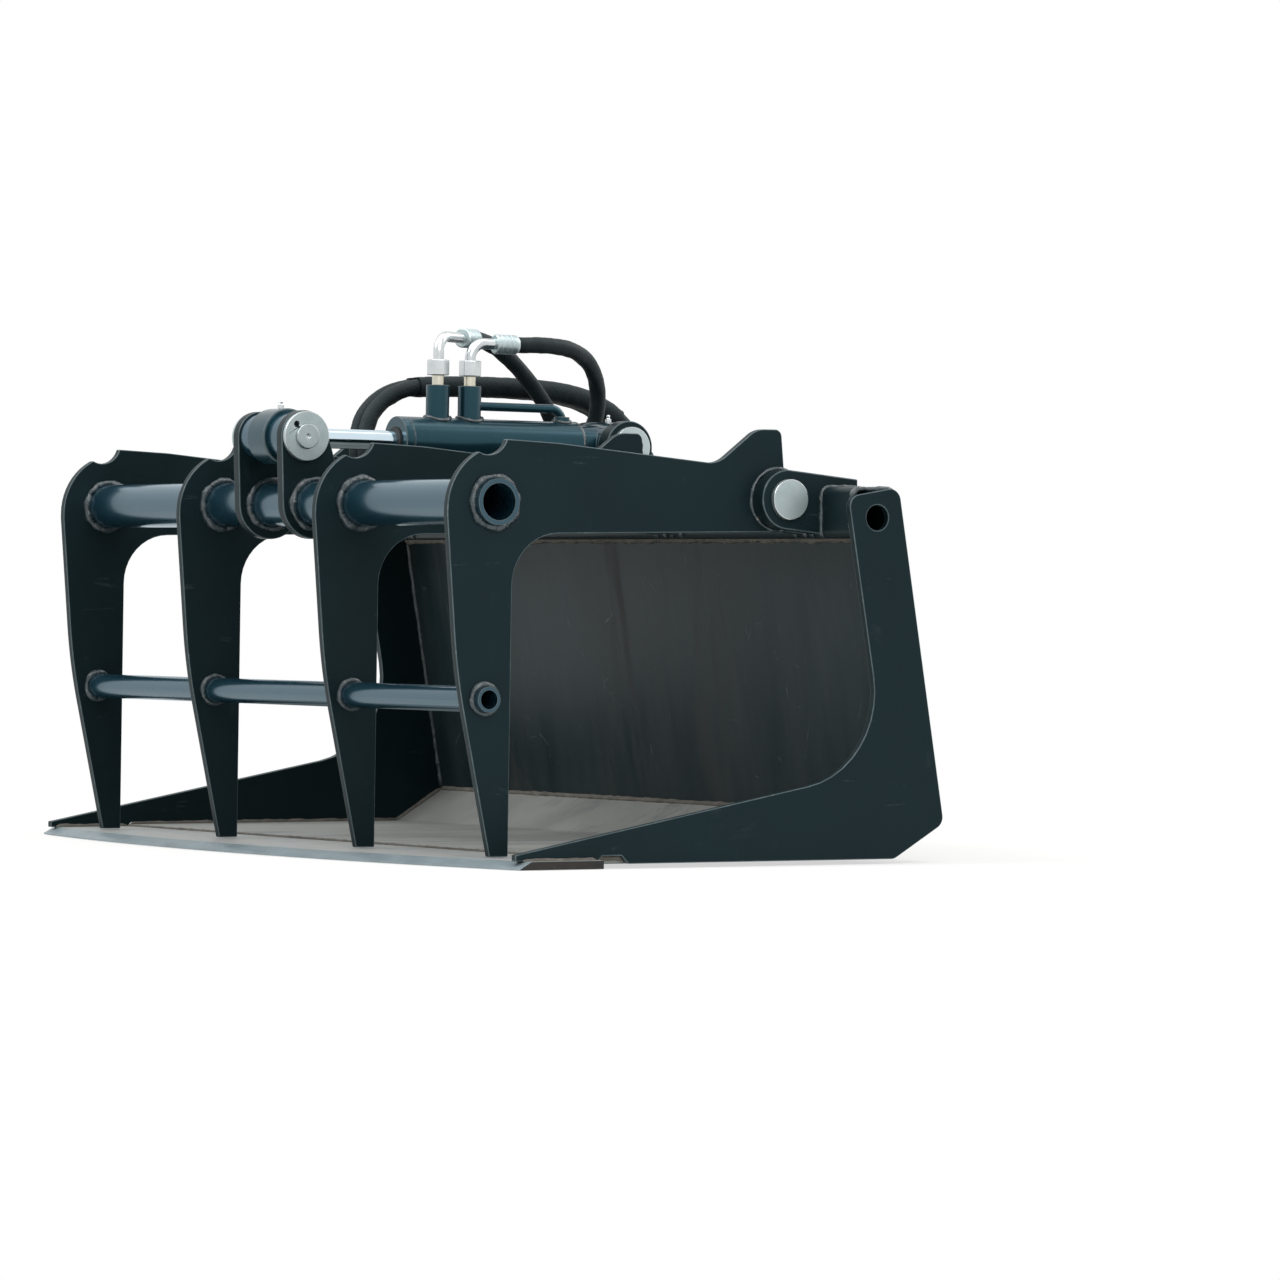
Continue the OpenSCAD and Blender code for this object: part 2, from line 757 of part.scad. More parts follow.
gland_seat = 5;
wiper_d = rod_d + 8;
module gland() {
    color(paint) on_cylinder() difference() {
        union() {
            bar_u(barrel_d, barrel_end - gland_flange, barrel_end);
            bar_u(2 * bore_r, barrel_end - gland_in, barrel_end - gland_flange + over);
        }
        bar_u(rod_d + 2 * run, barrel_end - gland_in - over, barrel_end + over);
        bar_u(wiper_d, barrel_end - gland_seat, barrel_end + over);
        // oil way from the port to the space in front of the piston
        upright(port_front) translate([0, 0, rod_d / 2]) cylinder(h = barrel_d, d = oil_d);
    }
}
wiper_proud = 2;
module rod_wiper() {
    color(seal_black) on_cylinder() difference() {
        bar_u(wiper_d, barrel_end - gland_seat, barrel_end + wiper_proud);
        bar_u(rod_d + 2 * run, barrel_end - gland_seat - over, barrel_end + wiper_proud + over);
    }
}

// Barrel base: end cap, neck and eye
cap_in = 12;
neck_d = 44;
base_bush_d = pin_d + 2 * run + 2 * bush_wall;
module barrel_base() {
    color(paint) on_cylinder() difference() {
        union() {
            bar_u(2 * bore_r, barrel_start - over, barrel_start + cap_in);
            bar_u(neck_d, 0, barrel_start);
            bar_x([0, 0], 2 * eye_r, -eye_w / 2, eye_w / 2);
        }
        bar_x([0, 0], base_bush_d, -eye_w / 2 - over, eye_w / 2 + over);
    }
}
module base_bushing() {
    color(bronze) on_cylinder()
        ring_x([0, 0], base_bush_d, pin_d + 2 * run, -eye_w / 2, eye_w / 2);
}

// Port stubs, saddled on the barrel; the rear one feeds the hard line
port_rear = port_front - port_pitch;
module port_stubs() {
    color(paint) on_cylinder() for (u = [port_front, port_rear]) difference() {
        upright(u) cylinder(h = stub_h, d = stub_d);
        bar_u(barrel_d, barrel_start, barrel_end);
        upright(u) cylinder(h = stub_h + over, d = oil_d);
    }
}

// Hard line from the rear stub to a boss at the base end
line_boss_d = 16;
line_boss_h = 5;
module hard_line() {
    bend = 1.5 * line_d;
    straight_end = line_boss + bend;
    color(paint) on_cylinder() difference() {
        union() {
            translate([0, 0, line_h]) bar_u(line_d, straight_end, port_rear);
            translate([0, -straight_end, line_h - bend]) rotate([90, 0, 90])
                rotate_extrude(angle = 90) translate([bend, 0]) circle(d = line_d, $fn = 32);
            if (line_h - bend > barrel_d / 2)
                upright(line_boss) cylinder(h = line_h - bend, d = line_d);
            upright(line_boss) cylinder(h = barrel_d / 2 + line_boss_h, d = line_boss_d);
        }
        bar_u(barrel_d, barrel_start - over, barrel_end);
        upright(port_rear) cylinder(h = stub_h, d = stub_d);
    }
}

// Adapters, swivel nuts, elbows and ferrules, one set on each stub
adapter_d = 12;
module port_adapters() {
    color(zinc) on_cylinder() for (u = [port_front, port_rear])
        upright(u) translate([0, 0, stub_h]) cylinder(h = adapter_h, d = adapter_d);
}
nut_z = stub_h + adapter_h;
module hose_nuts() {
    color(zinc) on_cylinder() for (u = [port_front, port_rear]) upright(u)
        translate([0, 0, nut_z]) cylinder(h = nut_h, d = nut_af / cos(30), $fn = 6);
}
elbow_z = nut_z + nut_h;
rise_front = 8;
rise_rear = 2;
reach_front = 46;
reach_rear = 28;
// Each elbow: its stub, its sideways turn, its extra rise and its reach
elbow_set = [[port_front, elbow_turn, rise_front, reach_front],
    [port_rear, 0, rise_rear, reach_rear]];
// Moves children to the start of a ferrule, along +Y
module at_ferrule(s) {
    upright(s.x) rotate([0, 0, s.y])
        translate([0, s[3], elbow_z + s.z + elbow_r]) children();
}
// Place of a ferrule's far end plus a further length d, measured from the drawing's zero
function past_ferrule(s, d) =
    let (l = s[3] + ferrule_l + d, x = -l * sin(s.y), y = l * cos(s.y) - s.x,
        z = elbow_z + s.z + elbow_r, c = cos(cylinder_tilt), t = sin(cylinder_tilt))
    [x, base_at.x + y * c - z * t, base_at.y + y * t + z * c];
module hose_elbows() {
    color(zinc) on_cylinder() for (s = elbow_set) {
        upright(s.x) rotate([0, 0, s.y]) {
            translate([0, 0, elbow_z]) cylinder(h = s.z, d = elbow_d);
            translate([0, elbow_r, elbow_z + s.z]) rotate([90, 0, -90])
                rotate_extrude(angle = 90) translate([elbow_r, 0]) circle(d = elbow_d, $fn = 32);
            translate([0, elbow_r, elbow_z + s.z + elbow_r]) rotate([-90, 0, 0])
                cylinder(h = s[3] - elbow_r, d = elbow_d);
        }
    }
}
module hose_ferrules() {
    color(zinc) on_cylinder() for (s = elbow_set) at_ferrule(s) rotate([-90, 0, 0]) {
        cylinder(h = ferrule_l, d = ferrule_d);
    }
}

// Grease nipples
nipple_d = 6;
nipple_h = 6;
module nipple() {
    cylinder(h = nipple_h, d = nipple_d, $fn = 24);
    translate([0, 0, nipple_h]) cylinder(h = nipple_h / 3, d = nipple_d / 2, $fn = 24);
}
module base_nipple() {
    color(bronze) on_cylinder() difference() {
        translate([0, 0, eye_r - over]) nipple();
        bar_x([0, 0], 2 * eye_r, -eye_w / 2, eye_w / 2);
    }
}

// Rod, rod eye, piston, seal and nut
rod_socket = 22;
rod_start = piston_at - piston_t / 2;
rod_finish = pin_to_pin - rod_eye_r + over;
module piston_rod() {
    color(chrome) on_cylinder() difference() {
        bar_u(rod_d, rod_start - piston_nut_t, rod_finish);
        bar_x([-pin_to_pin, 0], 2 * rod_eye_r, -rod_eye_w / 2, rod_eye_w / 2);
    }
}
eye_bore_d = pin_d + 2 * open_pivot_gap;
module rod_eye() {
    color(paint) on_cylinder() difference() {
        union() {
            bar_x([-pin_to_pin, 0], 2 * rod_eye_r, -rod_eye_w / 2, rod_eye_w / 2);
            bar_u(rod_d + rod_socket / 2, pin_to_pin - rod_eye_r - rod_socket / 2, pin_to_pin - pin_d);
        }
        bar_x([-pin_to_pin, 0], eye_bore_d, -rod_eye_w / 2 - over, rod_eye_w / 2 + over);
        difference() {
            bar_u(rod_d, pin_to_pin - 2 * rod_eye_r, rod_finish);
            bar_x([-pin_to_pin, 0], 2 * rod_eye_r, -rod_eye_w / 2, rod_eye_w / 2);
        }
    }
}
module piston() {
    color(steel) on_cylinder() difference() {
        bar_u(2 * bore_r - 2 * run, piston_at - piston_t / 2, piston_at + piston_t / 2);
        bar_u(rod_d, piston_at - piston_t, piston_at + piston_t);
        difference() {
            bar_u(barrel_d, piston_at - seal_w / 2, piston_at + seal_w / 2);
            bar_u(2 * bore_r - 2 * seal_deep, piston_at - seal_w, piston_at + seal_w);
        }
    }
}
seal_w = 6;
seal_deep = 4;
module piston_seal() {
    color(seal_black) on_cylinder() difference() {
        bar_u(2 * bore_r - 2 * run, piston_at - seal_w / 2, piston_at + seal_w / 2);
        bar_u(2 * bore_r - 2 * seal_deep, piston_at - seal_w, piston_at + seal_w);
    }
}
piston_nut_t = 12;
piston_nut_af = 30;
module piston_nut() {
    color(steel) on_cylinder() difference() {
        translate([0, -(rod_start - piston_nut_t), 0]) rotate([90, 0, 0])
            cylinder(h = piston_nut_t, d = piston_nut_af / cos(30), $fn = 6);
        bar_u(rod_d, rod_start - piston_nut_t - over, rod_start + over);
    }
}
module rod_nipple() {
    color(bronze) on_cylinder() difference() {
        translate([0, -pin_to_pin, rod_eye_r - over]) nipple();
        bar_x([-pin_to_pin, 0], 2 * rod_eye_r, -rod_eye_w / 2, rod_eye_w / 2);
    }
}

// Hoses: each leaves its ferrule, loops down beside the cylinder and back over it,
// runs over the hook of the mounting plate and hangs down behind it.
// Both share one loop in Y and Z; the points are [x, y, z]
hose_d = 17;
sleeve_wall = 1.5;
sleeve_gap = 0.8;
lane = 9.4;
sleeve_x = -116;
loop_yz = [[227, 472], [262, 473], [297, 473.5], [332, 473], [367, 471.5], [402, 468],
    [436, 459.5], [467, 442.5], [492, 417], [511, 386], [524, 352.5], [532, 317.5]];
hose_a_start = [[-51, 288.5, 512.5], [-60.5, 316, 496], [-67.5, 340.5, 475], [-75, 363, 451.5],
    [-84, 378.5, 424], [-90.5, 380.5, 391.5], [-93.5, 367, 362], [-95, 341, 342],
    [-95, 308.5, 334.5], [-94.5, 275.5, 333.5], [-94.5, 242, 333.5], [-95, 209, 337.5],
    [-98.5, 180.5, 353], [-104.5, 162.5, 380], [-112, 159, 411.5], [-119, 170.5, 441.5],
    [-123.5, 195.5, 462.5]];
hose_b_start = [[-3, 323, 514], [-11.5, 356.5, 510], [-26.5, 385, 497.5], [-43.5, 405, 474.5],
    [-58.5, 413, 444.5], [-69.5, 405.5, 413], [-73.5, 382.5, 387.5], [-74, 350, 376],
    [-75, 316, 368], [-75.5, 284.5, 353.5], [-76, 253, 338.5], [-77, 218.5, 335],
    [-79.5, 186.5, 347.5], [-84.5, 165, 374], [-92.5, 158.5, 407], [-100, 168.5, 439],
    [-104.5, 194, 462]];
// Drop behind the hook: [sideways from the lane's middle, y, z]
drop = [[11.5, 536, 284], [15, 537, 258], [16, 537, 238], [16, 537, 223]];
function in_lane(s) = [for (p = loop_yz) [sleeve_x + s * lane, p.x, p.y]];
function in_drop(s) = [for (p = drop) [sleeve_x + s * p.x, p.y, p.z]];
route_a = concat([past_ferrule(elbow_set[0], run), past_ferrule(elbow_set[0], hose_d / 4)],
    hose_a_start, in_lane(-1), in_drop(-1));
route_b = concat([past_ferrule(elbow_set[1], run), past_ferrule(elbow_set[1], hose_d / 4)],
    hose_b_start, in_lane(1), in_drop(1));

// Cross-section frames along a route, and a swept closed skin
function tangent(p, i) = unit(p[min(i + 1, len(p) - 1)] - p[max(i - 1, 0)]);
function side_of(t) = unit(cross(t, [1, 0, 0.001]));
function ring_at(p, i, shape) = let (t = tangent(p, i), n = side_of(t), b = cross(t, n))
    [for (s = shape) p[i] + s.x * b + s.y * n];
module sweep(p, shape) {
    n = len(shape);
    m = len(p);
    polyhedron(
        points = [for (i = [0:m - 1]) each ring_at(p, i, shape)],
        faces = concat(
            [for (i = [0:m - 2], j = [0:n - 1]) let (k = (j + 1) % n)
                [i * n + j, i * n + k, (i + 1) * n + k]],
            [for (i = [0:m - 2], j = [0:n - 1]) let (k = (j + 1) % n)
                [i * n + j, (i + 1) * n + k, (i + 1) * n + j]],
            [[for (j = [n - 1:-1:0]) j]],
            [[for (j = [0:n - 1]) (m - 1) * n + j]]));
}
function circle_points(d, n) = [for (j = [0:n - 1]) d / 2 * [cos(360 * j / n), sin(360 * j / n)]];
module hose(route) {
    color(hose_black) at_origin() sweep(route, circle_points(hose_d, 10));
}
module hose_a() { hose(route_a); }
module hose_b() { hose(route_b); }

// Sleeve round both hoses on the upper lane
sleeve_from = 0;
sleeve_to = 7;
module hose_sleeve() {
    mid = [for (p = loop_yz) [sleeve_x, p.x, p.y]];
    part = [for (i = [sleeve_from:sleeve_to]) mid[i]];
    r_in = hose_d / 2 + sleeve_gap;
    r_out = r_in + sleeve_wall;
    color(hose_black) at_origin() difference() {
        sweep(part, oval_points(r_out));
        sweep(concat(
            [part[0] - over * unit(part[1] - part[0])], [for (i = [1:len(part) - 2]) part[i]],
            [part[len(part) - 1] + over * unit(part[len(part) - 1] - part[len(part) - 2])]),
            oval_points(r_in));
    }
}
// Flat oval across both hoses
function oval_points(r) = concat(
    [for (j = [0:6]) [-lane + r * cos(90 + 30 * j), r * sin(90 + 30 * j)]],
    [for (j = [0:6]) [lane + r * cos(270 + 30 * j), r * sin(270 + 30 * j)]]);

// Far end ferrules, quick couplers and dust caps, hanging below the hoses
far_end = drop[len(drop) - 1];
far_ferrule_l = 34;
coupler_d = 26;
coupler_step_d = 18;
coupler_l = 52;
coupler_step = 12;
cap_d = 29;
cap_l = 26;
module at_far_ends() {
    at_origin() for (s = [-1, 1])
        translate([sleeve_x + s * far_end.x, far_end.y, far_end.z]) children();
}
module coupler_ferrules() {
    color(zinc) at_far_ends() translate([0, 0, -far_ferrule_l])
        cylinder(h = far_ferrule_l, d = ferrule_d);
}
module couplers() {
    color(zinc) at_far_ends() translate([0, 0, -far_ferrule_l]) {
        translate([0, 0, -coupler_step]) cylinder(h = coupler_step, d = coupler_step_d);
        translate([0, 0, -coupler_l]) cylinder(h = coupler_l - coupler_step, d = coupler_d);
    }
}
module coupler_caps() {
    color(hose_black) at_far_ends() translate([0, 0, -far_ferrule_l - coupler_l])
        translate([0, 0, -cap_l]) cylinder(h = cap_l, d = cap_d);
}

floor_plate();
back_plate();
side_plate_left();
side_plate_right();
cutting_edge();
wear_strips();
crossmember();
pivot_ears();
pivot_pins();
pivot_rings();
cylinder_lugs();
base_pin();
base_pin_washers();
base_pin_ring();
mount_plate();
mount_hook();
mount_shelf();
mount_gussets();
tine_1();
tine_2();
tine_3();
tine_4();
pivot_bushings();
upper_tube();
lower_tube();
clevis_plates();
rod_pin();
rod_pin_washers();
rod_pin_ring();
rod_pin_collars();
barrel_tube();
gland();
rod_wiper();
barrel_base();
base_bushing();
port_stubs();
hard_line();
port_adapters();
hose_nuts();
hose_elbows();
hose_ferrules();
base_nipple();
piston_rod();
rod_eye();
piston();
piston_seal();
piston_nut();
rod_nipple();
hose_a();
hose_b();
hose_sleeve();
coupler_ferrules();
couplers();
coupler_caps();
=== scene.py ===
"""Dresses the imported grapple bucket: finishes, softened plate edges, weld beads, hoses and fittings.

Lengths in the classes are millimetres, as on a drawing. Y counts from the wing tips and Z from the
ground; place() turns such a point into the frame of the model, in metres.
"""

import logging
import math
from dataclasses import dataclass, field
from enum import Enum
from typing import Any, ClassVar, Sequence

import bpy
import numpy as np
from mathutils import Matrix, Vector, noise


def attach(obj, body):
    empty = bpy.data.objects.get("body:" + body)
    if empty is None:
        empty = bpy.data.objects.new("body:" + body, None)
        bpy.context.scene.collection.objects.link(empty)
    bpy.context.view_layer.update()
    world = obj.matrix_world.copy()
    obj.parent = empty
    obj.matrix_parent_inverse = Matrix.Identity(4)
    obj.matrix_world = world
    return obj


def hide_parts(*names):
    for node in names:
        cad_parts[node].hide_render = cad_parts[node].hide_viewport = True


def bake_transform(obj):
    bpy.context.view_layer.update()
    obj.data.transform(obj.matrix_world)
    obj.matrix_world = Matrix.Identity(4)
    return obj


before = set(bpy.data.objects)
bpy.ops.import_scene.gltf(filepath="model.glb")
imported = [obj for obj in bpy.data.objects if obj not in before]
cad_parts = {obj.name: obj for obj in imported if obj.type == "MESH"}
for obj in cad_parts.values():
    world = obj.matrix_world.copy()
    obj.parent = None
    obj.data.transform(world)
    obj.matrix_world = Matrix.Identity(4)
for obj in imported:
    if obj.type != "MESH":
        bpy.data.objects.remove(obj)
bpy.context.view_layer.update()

LOG = logging.getLogger("grapple_bucket")
MM = 0.001
# Distance from the wing tips back to the middle of the base
MIDDLE_Y = 245.5
# Blender seeds its vector noise by the clock: a fixed seed lays the same weld beads in each run
NOISE_SEED = 7
# Corners closer than this, in metres, are one corner: in a new mesh, and among a CAD node's triangles
SAME_SPOT = 1e-6
SAME_CAD_SPOT = 2e-6
# Degrees between two CAD faces below which they are one face, and above which their edge is softened
FLAT_ANGLE = 0.3
SHARP_ANGLE = 33.0
# Degrees below which an edge is shaded smooth: on cut metal, on weld beads and on textile
METAL_ANGLE = 32.0
WELD_ANGLE = 70.0
TEXTILE_ANGLE = 80.0
# A wave pattern of scale 1 has about this many bands in a metre, ridges and grooves both counted
WAVE_BANDS = 6.2832

Point = tuple[float, float, float]
Span = tuple[float, float]


class Body(str, Enum):
    """The rigid bodies that pieces ride on."""

    BUCKET = "bucket"
    GRAPPLE = "grapple"
    BARREL = "barrel"
    ROD = "rod"


def place(x: float, y: float, z: float) -> Vector:
    """Turns a drawing point in millimetres into a point of the model.

    Args:
        x: Distance to the left of the middle.
        y: Distance behind the wing tips.
        z: Height above the ground.

    Returns:
        The point in metres in the model's frame.
    """
    return Vector((x, y - MIDDLE_Y, z)) * MM


def linear(code: str) -> tuple[float, float, float, float]:
    """Turns an sRGB hex value into a linear colour.

    Args:
        code: Colour such as "#1b2629".

    Returns:
        Red, green, blue and full opacity for a shader socket.
    """
    parts = [int(code[i : i + 2], 16) / 255 for i in (1, 3, 5)]
    r, g, b = (c / 12.92 if c <= 0.04045 else ((c + 0.055) / 1.055) ** 2.4 for c in parts)
    return (r, g, b, 1.0)


def add_node(
    tree: bpy.types.NodeTree,
    kind: str,
    sockets: dict[Any, Any] | None = None,
    **settings: Any,
) -> bpy.types.Node:
    """Adds a shader node with its settings and links.

    Args:
        tree: Node tree that gets the node.
        kind: Blender's type name of the node.
        sockets: Input name or number to a value, or to an output socket that is linked.
        settings: Attributes of the node.

    Returns:
        The new node.
    """
    node = tree.nodes.new(kind)
    for name, value in settings.items():
        setattr(node, name, value)
    for key, value in (sockets or {}).items():
        if isinstance(value, bpy.types.NodeSocket):
            tree.links.new(value, node.inputs[key])
        else:
            node.inputs[key].default_value = value
    return node


@dataclass(frozen=True)
class Finish:
    """A surface as it was made: its colours, gloss and wear. Pattern sizes are in millimetres."""

    name: str
    # Main colour, and the one that it drifts to
    base: str
    tone: str
    roughness: float
    metallic: float = 0.0
    # Size of slow colour changes, and how strong they are
    mottle_mm: float | Point = 90.0
    mottle: float = 0.5
    # Settled dust or rubbed-off paint
    wear_colour: str = "#5c6466"
    wear: float = 0.0
    wear_mm: float | Point = 45.0
    # Fine scratches
    scratch_colour: str = "#6f7b7e"
    scratch: float = 0.0
    scratch_mm: float = 70.0
    scratch_stretch: Point = (1.5, 0.16, 1.5)
    # Relief of the surface
    grain_mm: float = 1.6
    grain: float = 0.03
    # How much a non-metal mirrors, and in what colour; a pale blue colour here is a painted reflection of
    # a blue sky
    mirror: float = 0.5
    mirror_colour: str = "#ffffff"
    # A thick glossy film over the colour
    film: float = 0.0

    # Ranges of the cloud pattern over which tone and gloss change, and the roughness at the gloss's ends
    TONE_SPAN: ClassVar[Span] = (0.3, 0.75)
    GLOSS_SPAN: ClassVar[Span] = (0.25, 0.8)
    GLOSS_SHARES: ClassVar[Span] = (0.85, 1.2)
    # Range of its pattern over which wear sets in, and how far full wear lowers that range
    WEAR_SPAN: ClassVar[Span] = (0.62, 0.86)
    WEAR_REACH: ClassVar[float] = 0.3
    # Strength of the faintest wear, and how much rougher a worn patch is
    WEAR_LEAST: ClassVar[float] = 0.35
    WEAR_DULLS: ClassVar[float] = 0.28
    # Turn in radians and offset of the two sets of scratches, and their width
    SCRATCHES: ClassVar[tuple[Span, Span]] = ((0.5, 0.0), (-0.85, 3.7))
    SCRATCH_WIDTH: ClassVar[float] = 0.01
    # Range of a cloud pattern over which scratches show, and its scale as a multiple of theirs
    SCRATCH_AREAS: ClassVar[Span] = (0.58, 0.72)
    SCRATCH_AREA_SCALE: ClassVar[float] = 2.2
    # Height of the grain as a share of its size, and how fast its strength grows
    GRAIN_HEIGHT_SHARE: ClassVar[float] = 0.12
    GRAIN_GAIN: ClassVar[float] = 12.0
    FILM_ROUGHNESS: ClassVar[float] = 0.12
    FILM_IOR: ClassVar[float] = 1.6

    def build(self) -> bpy.types.Material:
        """Builds the material.

        Returns:
            The finished node material.
        """
        material = bpy.data.materials.new(self.name)
        material.use_nodes = True
        material.diffuse_color = linear(self.base)
        tree = material.node_tree
        tree.nodes.clear()
        spot = add_node(tree, "ShaderNodeTexCoord").outputs["Object"]
        colour, rough = self._mottle(tree, spot)
        colour, rough = self._worn(tree, spot, colour, rough)
        colour, marks = self._scratched(tree, spot, colour)
        shader = add_node(
            tree,
            "ShaderNodeBsdfPrincipled",
            {
                "Base Color": colour,
                "Roughness": rough,
                "Metallic": self.metallic,
                "Specular IOR Level": self.mirror,
                "Specular Tint": linear(self.mirror_colour),
                "Coat Weight": self.film,
                "Coat Roughness": self.FILM_ROUGHNESS,
                "Coat IOR": self.FILM_IOR,
                "Coat Tint": linear(self.mirror_colour),
                "Normal": self._relief(tree, spot, marks),
            },
        )
        add_node(tree, "ShaderNodeOutputMaterial", {"Surface": shader.outputs["BSDF"]})
        return material

    def _sized(self, tree: bpy.types.NodeTree, spot: Any, size: float | Point) -> Any:
        """Coordinates in which a pattern of this size has the size 1.

        Args:
            tree: Node tree of the material.
            spot: Coordinates of the surface.
            size: Size in millimetres, one or along X, Y and Z.

        Returns:
            Scaled coordinates.
        """
        sizes = size if isinstance(size, tuple) else (size, size, size)
        scale = tuple(1000 / s for s in sizes)
        return add_node(tree, "ShaderNodeMapping", {"Vector": spot, "Scale": scale}).outputs["Vector"]

    def _mottle(self, tree: bpy.types.NodeTree, spot: Any) -> tuple[Any, Any]:
        """Slow change of tone and gloss over the surface.

        Args:
            tree: Node tree of the material.
            spot: Coordinates of the surface.

        Returns:
            Colour output and roughness output.
        """
        scaled = self._sized(tree, spot, self.mottle_mm)
        cloud = add_node(
            tree, "ShaderNodeTexNoise", {"Vector": scaled, "Scale": 1.0, "Detail": 4.0, "Roughness": 0.6}
        ).outputs["Fac"]
        share = add_node(
            tree,
            "ShaderNodeMapRange",
            {
                "Value": cloud,
                "From Min": self.TONE_SPAN[0],
                "From Max": self.TONE_SPAN[1],
                "To Min": 0.0,
                "To Max": self.mottle,
            },
        )
        colour = add_node(
            tree,
            "ShaderNodeMix",
            {0: share.outputs["Result"], 6: linear(self.base), 7: linear(self.tone)},
            data_type="RGBA",
        )
        gloss = add_node(
            tree,
            "ShaderNodeMapRange",
            {
                "Value": cloud,
                "From Min": self.GLOSS_SPAN[0],
                "From Max": self.GLOSS_SPAN[1],
                "To Min": max(0.02, self.roughness * self.GLOSS_SHARES[0]),
                "To Max": min(1.0, self.roughness * self.GLOSS_SHARES[1]),
            },
        )
        return colour.outputs[2], gloss.outputs["Result"]

    def _worn(self, tree: bpy.types.NodeTree, spot: Any, colour: Any, rough: Any) -> tuple[Any, Any]:
        """Dust and rubbed patches, with a ragged outline.

        Args:
            tree: Node tree of the material.
            spot: Coordinates of the surface.
            colour: Colour output below the wear.
            rough: Roughness output below the wear.

        Returns:
            Colour output and roughness output.
        """
        if self.wear <= 0:
            return colour, rough
        patch = add_node(
            tree,
            "ShaderNodeTexNoise",
            {
                "Vector": self._sized(tree, spot, self.wear_mm),
                "Scale": 1.0,
                "Detail": 9.0,
                "Roughness": 0.68,
                "Distortion": 0.4,
            },
        )
        lowered = self.WEAR_REACH * self.wear
        share = add_node(
            tree,
            "ShaderNodeMapRange",
            {
                "Value": patch.outputs["Fac"],
                "From Min": self.WEAR_SPAN[0] - lowered,
                "From Max": self.WEAR_SPAN[1] - lowered,
                "To Min": 0.0,
                "To Max": min(1.0, self.WEAR_LEAST + self.wear),
            },
            interpolation_type="SMOOTHSTEP",
        ).outputs["Result"]
        mixed = add_node(
            tree, "ShaderNodeMix", {0: share, 6: colour, 7: linear(self.wear_colour)}, data_type="RGBA"
        )
        worn_rough = min(0.9, self.roughness + self.WEAR_DULLS)
        duller = add_node(tree, "ShaderNodeMix", {0: share, 2: rough, 3: worn_rough})
        return mixed.outputs[2], duller.outputs[0]

    def _scratched(self, tree: bpy.types.NodeTree, spot: Any, colour: Any) -> tuple[Any, Any]:
        """Thin scratches in two directions, kept to some areas.

        Args:
            tree: Node tree of the material.
            spot: Coordinates of the surface.
            colour: Colour output below the scratches.

        Returns:
            Colour output, and the output that marks where scratches are or None.
        """
        if self.scratch <= 0:
            return colour, None
        lines = []
        for turn, seed in self.SCRATCHES:
            laid = add_node(
                tree,
                "ShaderNodeMapping",
                {
                    "Vector": spot,
                    "Location": (seed, seed * 0.7, seed * 1.3),
                    "Rotation": (turn, turn * 0.4, turn * 0.7),
                    "Scale": tuple(s * 1000 / self.scratch_mm for s in self.scratch_stretch),
                },
            )
            cells = add_node(
                tree,
                "ShaderNodeTexVoronoi",
                {"Vector": laid.outputs["Vector"], "Scale": 1.0, "Randomness": 1.0},
                feature="DISTANCE_TO_EDGE",
            )
            line = add_node(
                tree,
                "ShaderNodeMapRange",
                {
                    "Value": cells.outputs["Distance"],
                    "From Min": 0.0,
                    "From Max": self.SCRATCH_WIDTH,
                    "To Min": 1.0,
                    "To Max": 0.0,
                },
            )
            lines.append(line.outputs["Result"])
        both = add_node(tree, "ShaderNodeMath", {0: lines[0], 1: lines[1]}, operation="MAXIMUM")
        area_scale = 1000 * self.SCRATCH_AREA_SCALE / self.scratch_mm
        area = add_node(
            tree,
            "ShaderNodeTexNoise",
            {"Vector": spot, "Scale": area_scale, "Detail": 5.0, "Roughness": 0.7},
        )
        where = add_node(
            tree,
            "ShaderNodeMapRange",
            {
                "Value": area.outputs["Fac"],
                "From Min": self.SCRATCH_AREAS[0],
                "From Max": self.SCRATCH_AREAS[1],
                "To Min": 0.0,
                "To Max": self.scratch,
            },
        )
        marks = add_node(
            tree,
            "ShaderNodeMath",
            {0: both.outputs[0], 1: where.outputs["Result"]},
            operation="MULTIPLY",
            use_clamp=True,
        ).outputs[0]
        mixed = add_node(
            tree, "ShaderNodeMix", {0: marks, 6: colour, 7: linear(self.scratch_colour)}, data_type="RGBA"
        )
        return mixed.outputs[2], marks

    def _relief(self, tree: bpy.types.NodeTree, spot: Any, marks: Any) -> Any:
        """Fine relief: the skin of sprayed paint, grit or grain, cut by the scratches.

        Args:
            tree: Node tree of the material.
            spot: Coordinates of the surface.
            marks: Output that marks the scratches, or None.

        Returns:
            Normal output.
        """
        skin_scale = 1000 / self.grain_mm
        skin = add_node(
            tree,
            "ShaderNodeTexNoise",
            {"Vector": spot, "Scale": skin_scale, "Detail": 3.0, "Roughness": 0.55},
        )
        height = skin.outputs["Fac"]
        if marks is not None:
            cut = add_node(tree, "ShaderNodeMath", {0: height, 1: marks}, operation="SUBTRACT")
            height = cut.outputs[0]
        bump = add_node(
            tree,
            "ShaderNodeBump",
            {
                "Height": height,
                "Strength": min(1.0, self.grain * self.GRAIN_GAIN),
                "Distance": self.grain_mm * MM * self.GRAIN_HEIGHT_SHARE,
            },
        )
        return bump.outputs["Normal"]


